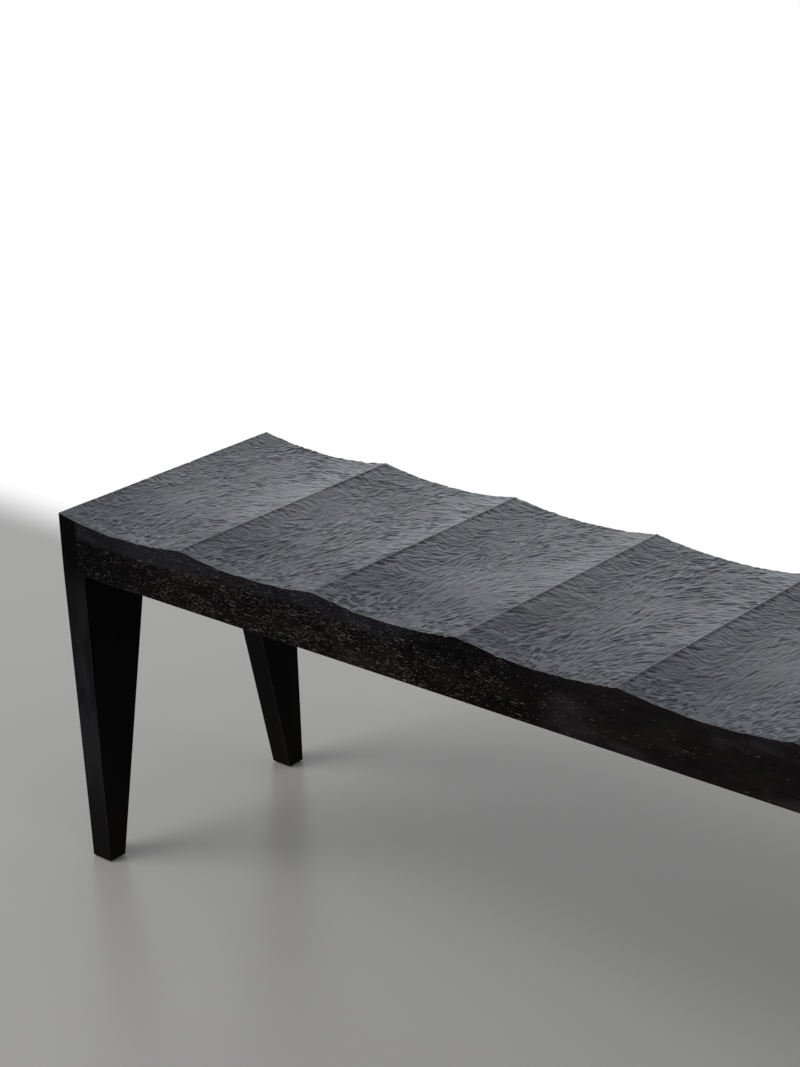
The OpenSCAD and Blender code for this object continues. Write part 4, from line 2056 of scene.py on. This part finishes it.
@dataclass
class UnderFrame:
    """Three bearers that carry the boards, and the four corner blocks that brace the legs."""

    shop: Workshop
    arris: float = 1.0 * MM

    def build(self) -> None:
        """Models one bearer and one corner block and copies them to their places."""
        first, block = self.middle_bearer(), self.front_left_block()
        for bearer in Bearer:
            piece = copy_of(first, f"cross_bearer_{bearer.word}")
            piece.data.transform(Matrix.Translation((bearer.middle, 0, 0)))
            self.shop.finish(piece, Slot.INNER, bearer.node, carved=False)
        for corner in CORNERS:
            brace = mirrored(block, f"brace_{corner.word}", corner)
            self.shop.finish(brace, Slot.INNER, f"corner_block_{corner.word}", carved=False)
        discard(first, block)

    def middle_bearer(self) -> bpy.types.Object:
        """Shapes a bearer, eases its lower edges and bores it for its four screws.

        Returns:
            The bearer.
        """
        shop, (low, high) = self.shop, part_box(Bearer.MIDDLE.node)
        bearer = shop.blank("bearer_blank", "bearer", low, high)
        ease(bearer, self.arris, lambda place, way: place.z < low.z + TOUCH and abs(way.y) > ALONG)
        for y in shop.plan.board_middles():
            combine(bearer, shop.screw_holes(ScrewPlace((0, y, low.z), UPWARDS, high.z - low.z + MM)))
        return bearer

    def front_left_block(self) -> bpy.types.Object:
        """Shapes a corner block: a square blank with its inner corner sawn off, bored from three sides.

        Returns:
            The block.
        """
        shop, plan, fit = self.shop, self.shop.plan, self.shop.fit
        x, y, foot = plan.leg_thick, plan.rail_thick, fit.block_foot
        low = plan.inwards(x, y, foot)
        high = plan.inwards(x + fit.block_length, y + fit.block_length, plan.ledge)
        block = shop.blank("block_blank", "brace", low, high)
        with editing(block, "FACE", everything=True):
            bpy.ops.mesh.bisect(plane_co=(high[0], low[1] + fit.block_end, foot), plane_no=(1, 1, 0),
                                use_fill=True, clear_outer=True)
        ease(block, self.arris, lambda place, way: place.z < foot + TOUCH
             and place.x > low[0] + MM and place.y > low[1] + MM)
        tools = []
        for screw in (fit.rail_screw, fit.leg_screw):
            back = tuple(Vector(screw.head) - Vector(screw.axis) * fit.block_length)
            tools += [*shop.screw_holes(screw), shop.hole(back, screw.axis, fit.block_length, fit.bore / 2)]
        combine(block, [*tools, *shop.screw_holes(fit.seat_screw)])
        return block


@dataclass
class Hardware:
    """Wood screws, nail-on glides and their nails."""

    shop: Workshop
    glide_sides: int = 40
    glide_chamfer: float = 0.7 * MM
    nail_sides: int = 20
    nail_head: float = 3.5 * MM
    nail_head_height: float = 1.0 * MM
    nail_sink: float = 1.6 * MM
    nail_tip: float = 4 * MM
    turn_by_board: float = 0.7
    turn_by_bearer: float = 1.9

    def build(self) -> None:
        """Models each kind of fastening once and copies it to its places."""
        fit, quarter = self.shop.fit, math.pi / 2
        for name, screw, turn, node in (
            ("screws_block_to_rail", fit.rail_screw, Matrix.Rotation(quarter, 4, "X"), "block_rail_screws"),
            ("screws_block_to_leg", fit.leg_screw, Matrix.Rotation(-quarter, 4, "Y"), "block_leg_screws"),
            ("screws_block_to_board", fit.seat_screw, Matrix.Identity(4), "block_seat_screws"),
        ):
            first = self.shop.screw.build(screw.length)
            first.data.transform(Matrix.Translation(screw.head) @ turn)
            self.gather([mirrored(first, name, corner) for corner in CORNERS], name, node)
            discard(first)
        self.bearer_screws()
        self.glides()
        self.nails()

    def gather(self, copies: Sequence[bpy.types.Object], name: str, node: str) -> None:
        """Joins the copies of one fastening into the piece that stands for its node.

        Args:
            copies: The copies.
            name: The piece's name.
            node: The node.
        """
        make_active(*copies)
        bpy.ops.object.join()
        piece = bpy.context.view_layer.objects.active
        piece.name = piece.data.name = name
        wear_skins(piece, self.shop.skins["steel"])
        shade_smooth(piece, HARDWARE_CREASE)
        hand_over(piece, node)

    def bearer_screws(self) -> None:
        """Puts a screw through each bearer into each board, each turned another way."""
        first = self.shop.screw.build(self.shop.bearer_screw(Bearer.MIDDLE, 0).length)
        copies = []
        for number, y in enumerate(self.shop.plan.board_middles()):
            for bearer in Bearer:
                turn = self.turn_by_board * number + self.turn_by_bearer * bearer.value
                each = copy_of(first, "screw_copy")
                each.data.transform(Matrix.Rotation(turn, 4, "Z"))
                each.data.transform(Matrix.Translation(self.shop.bearer_screw(bearer, y).head))
                copies.append(each)
        self.gather(copies, "screws_bearer_to_board", "bearer_screws")
        discard(first)

    def glides(self) -> None:
        """Turns a glide and puts one under each foot."""
        fit, gap, soft = self.shop.fit, self.shop.joints.hole_gap, self.glide_chamfer
        radius, thick = fit.glide_radius, fit.glide_thick
        bore, well = fit.nail_radius + gap, self.nail_head + gap
        glide = turned("glide_blank", [
            (well, 0.0), (radius - soft, 0.0), (radius - 0.35 * soft, 0.2 * soft), (radius, soft),
            (radius, thick), (bore, thick), (bore, self.nail_sink), (well, self.nail_sink),
        ], self.glide_sides, closed=True)
        wear_skins(glide, self.shop.skins["nylon"])
        glide.data.transform(Matrix.Translation(fit.foot_middle))
        for corner in CORNERS:
            pad = mirrored(glide, f"foot_glide_{corner.word}", corner)
            shade_smooth(pad, HARDWARE_CREASE)
            hand_over(pad, f"glide_{corner.word}")
        discard(glide)

    def nails(self) -> None:
        """Turns a nail and puts one in each glide."""
        fit, under, head = self.shop.fit, self.nail_sink - self.nail_head_height, self.nail_head
        nail = turned("nail_blank", [
            (0.8 * MM, under), (0.7 * head, under + 0.12 * MM), (head, under + 0.5 * MM),
            (head, self.nail_sink), (fit.nail_radius, self.nail_sink + 0.01 * MM),
            (fit.nail_radius, fit.nail_top - self.nail_tip), (0.25 * MM, fit.nail_top),
        ], self.nail_sides)
        nail.data.transform(Matrix.Translation(fit.foot_middle))
        copies = [mirrored(nail, "nail_copy", corner) for corner in CORNERS]
        self.gather(copies, "nails_of_glides", "glide_nails")
        discard(nail)


@dataclass(frozen=True)
class Lamp:
    """Soft light that faces a point of the bench and that the camera can't see: metres and watts."""

    name: str
    place: Point
    aim: Point
    width: float
    power: float

    def hang(self) -> None:
        """Hangs the lamp."""
        light = bpy.data.lights.new(self.name, "AREA")
        light.shape, light.energy = "RECTANGLE", self.power
        light.size = light.size_y = self.width
        lamp = bpy.data.objects.new(self.name, light)
        lamp.visible_camera = False
        lamp.location = self.place
        lamp.rotation_euler = (Vector(self.aim) - Vector(self.place)).to_track_quat("-Z", "Y").to_euler()
        bpy.context.scene.collection.objects.link(lamp)


@dataclass
class Studio:
    """Pale floor, soft light and the camera."""

    lamps: tuple[Lamp, ...] = (
        Lamp("key", (-2.4, -2.2, 3.4), (0.0, 0.0, 0.3), 2.2, 84.0),
        Lamp("fill", (2.6, -0.6, 3.0), (0.2, 0.0, 0.3), 2.6, 8.0),
    )
    camera_place: Point = (1.2955, -1.9359, 1.4674)
    yaw: float = math.radians(-41.652)
    pitch: float = math.radians(21.37)
    roll: float = math.radians(2.157)
    focal_pixels: float = 2493.1
    picture: tuple[int, int] = (800, 1067)
    sensor: float = 36.0
    clip_end: float = 60.0
    floor_tone: Colour = (0.40, 0.395, 0.385)
    floor_half: float = 9.0
    floor_roughness: float = 0.28
    fade_start: float = 0.50
    fade_stop: float = 0.66
    room_light: float = 0.52
    mirror_dim: float = 0.14
    mirror_tint: Colour = (0.93, 0.96, 1.0)
    mirror_way: Point = (-0.55, 0.80, -0.25)
    mirror_band: tuple[float, float] = (0.45, 0.92)

    def build(self) -> None:
        """Lays the floor and sets the light and the camera."""
        self.floor()
        self.world()
        for lamp in self.lamps:
            lamp.hang()
        self.camera()

    def floor(self) -> None:
        """Lays a pale floor that turns white behind the bench, for the camera alone."""
        deselect_all()
        bpy.ops.mesh.primitive_plane_add(size=2 * self.floor_half)
        floor = settle("studio_floor")
        tree = ShaderTree("studio_floor")
        tree.shader.inputs["Roughness"].default_value = self.floor_roughness
        tree.shader.inputs["Base Color"].default_value = (*self.floor_tone, 1.0)
        white = tree.read("Emission", "Emission", Strength=1.0, Color=(1, 1, 1, 1))
        behind = tree.axis("Y").band(self.fade_start, self.fade_stop)
        seen = tree.read("Is Camera Ray", "LightPath") * behind
        mix = tree.mixed(seen, Wire(tree, tree.shader.outputs["BSDF"]), white)
        tree.feed(mix, tree.output.inputs["Surface"])
        wear_skins(floor, [tree.material])

    def world(self) -> None:
        """White room for the camera and for reflections from behind, plain grey light for the rest."""
        world = bpy.data.worlds.new("studio")
        bpy.context.scene.world = world
        world.use_nodes = True
        tree = NodeTree(world.node_tree)
        light = tree.node("LightPath")
        camera, glossy, clear = (
            Wire(tree, light.outputs[f"Is {kind} Ray"]) for kind in ("Camera", "Glossy", "Transmission")
        )

        def background(strength: float, tint: Colour = (1.0, 1.0, 1.0)) -> Wire:
            """One plain background of a strength and a tint."""
            return tree.read("Background", "Background", Color=(*tint, 1.0), Strength=strength)

        view, way = tree.read("Generated", "TexCoord"), Vector(self.mirror_way).normalized()
        towards = tree.node("VectorMath", {"operation": "DOT_PRODUCT"}, view, way).outputs["Value"]
        share = Wire(tree, towards).band(*self.mirror_band)
        mirror = tree.mixed(share, background(self.mirror_dim), background(1.0, self.mirror_tint))
        room = tree.mixed(glossy, background(self.room_light), mirror)
        white = tree.mixed(tree.reckon("MAXIMUM", camera, clear), room, background(1.0))
        tree.node("OutputWorld", None, white)

    def camera(self) -> None:
        """Sets the camera at the photograph's viewing angle."""
        ahead = Vector((math.sin(self.yaw) * math.cos(self.pitch), math.cos(self.yaw) * math.cos(self.pitch),
                        -math.sin(self.pitch)))
        level = Vector((math.cos(self.yaw), -math.sin(self.yaw), 0))
        down = ahead.cross(level)
        across = math.cos(self.roll) * level + math.sin(self.roll) * down
        up = math.sin(self.roll) * level - math.cos(self.roll) * down
        data = bpy.data.cameras.new("camera")
        data.sensor_width, data.clip_end = self.sensor, self.clip_end
        data.lens = self.focal_pixels * self.sensor / max(self.picture)
        camera = bpy.data.objects.new("camera", data)
        turn = Matrix((across, up, -ahead)).transposed().to_4x4()
        camera.matrix_world = Matrix.Translation(self.camera_place) @ turn
        bpy.context.scene.collection.objects.link(camera)
        bpy.context.scene.camera = camera
        bpy.context.scene.view_settings.view_transform = "Standard"


def main() -> None:
    """Builds the bench from its carved top down, then the studio."""
    logging.basicConfig(level=logging.INFO, format="%(name)s: %(message)s")
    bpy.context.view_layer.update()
    plan = Plan.from_frame()
    shop = Workshop(plan, Joinery(), CornerFit(plan), Screw(), CarvedTop(plan), wood_skins())
    for part in (Legs, Rails, SeatPanel, UnderFrame, Hardware):
        part(shop).build()
    Studio().build()
    deselect_all()


if __name__ == "__main__":
    main()
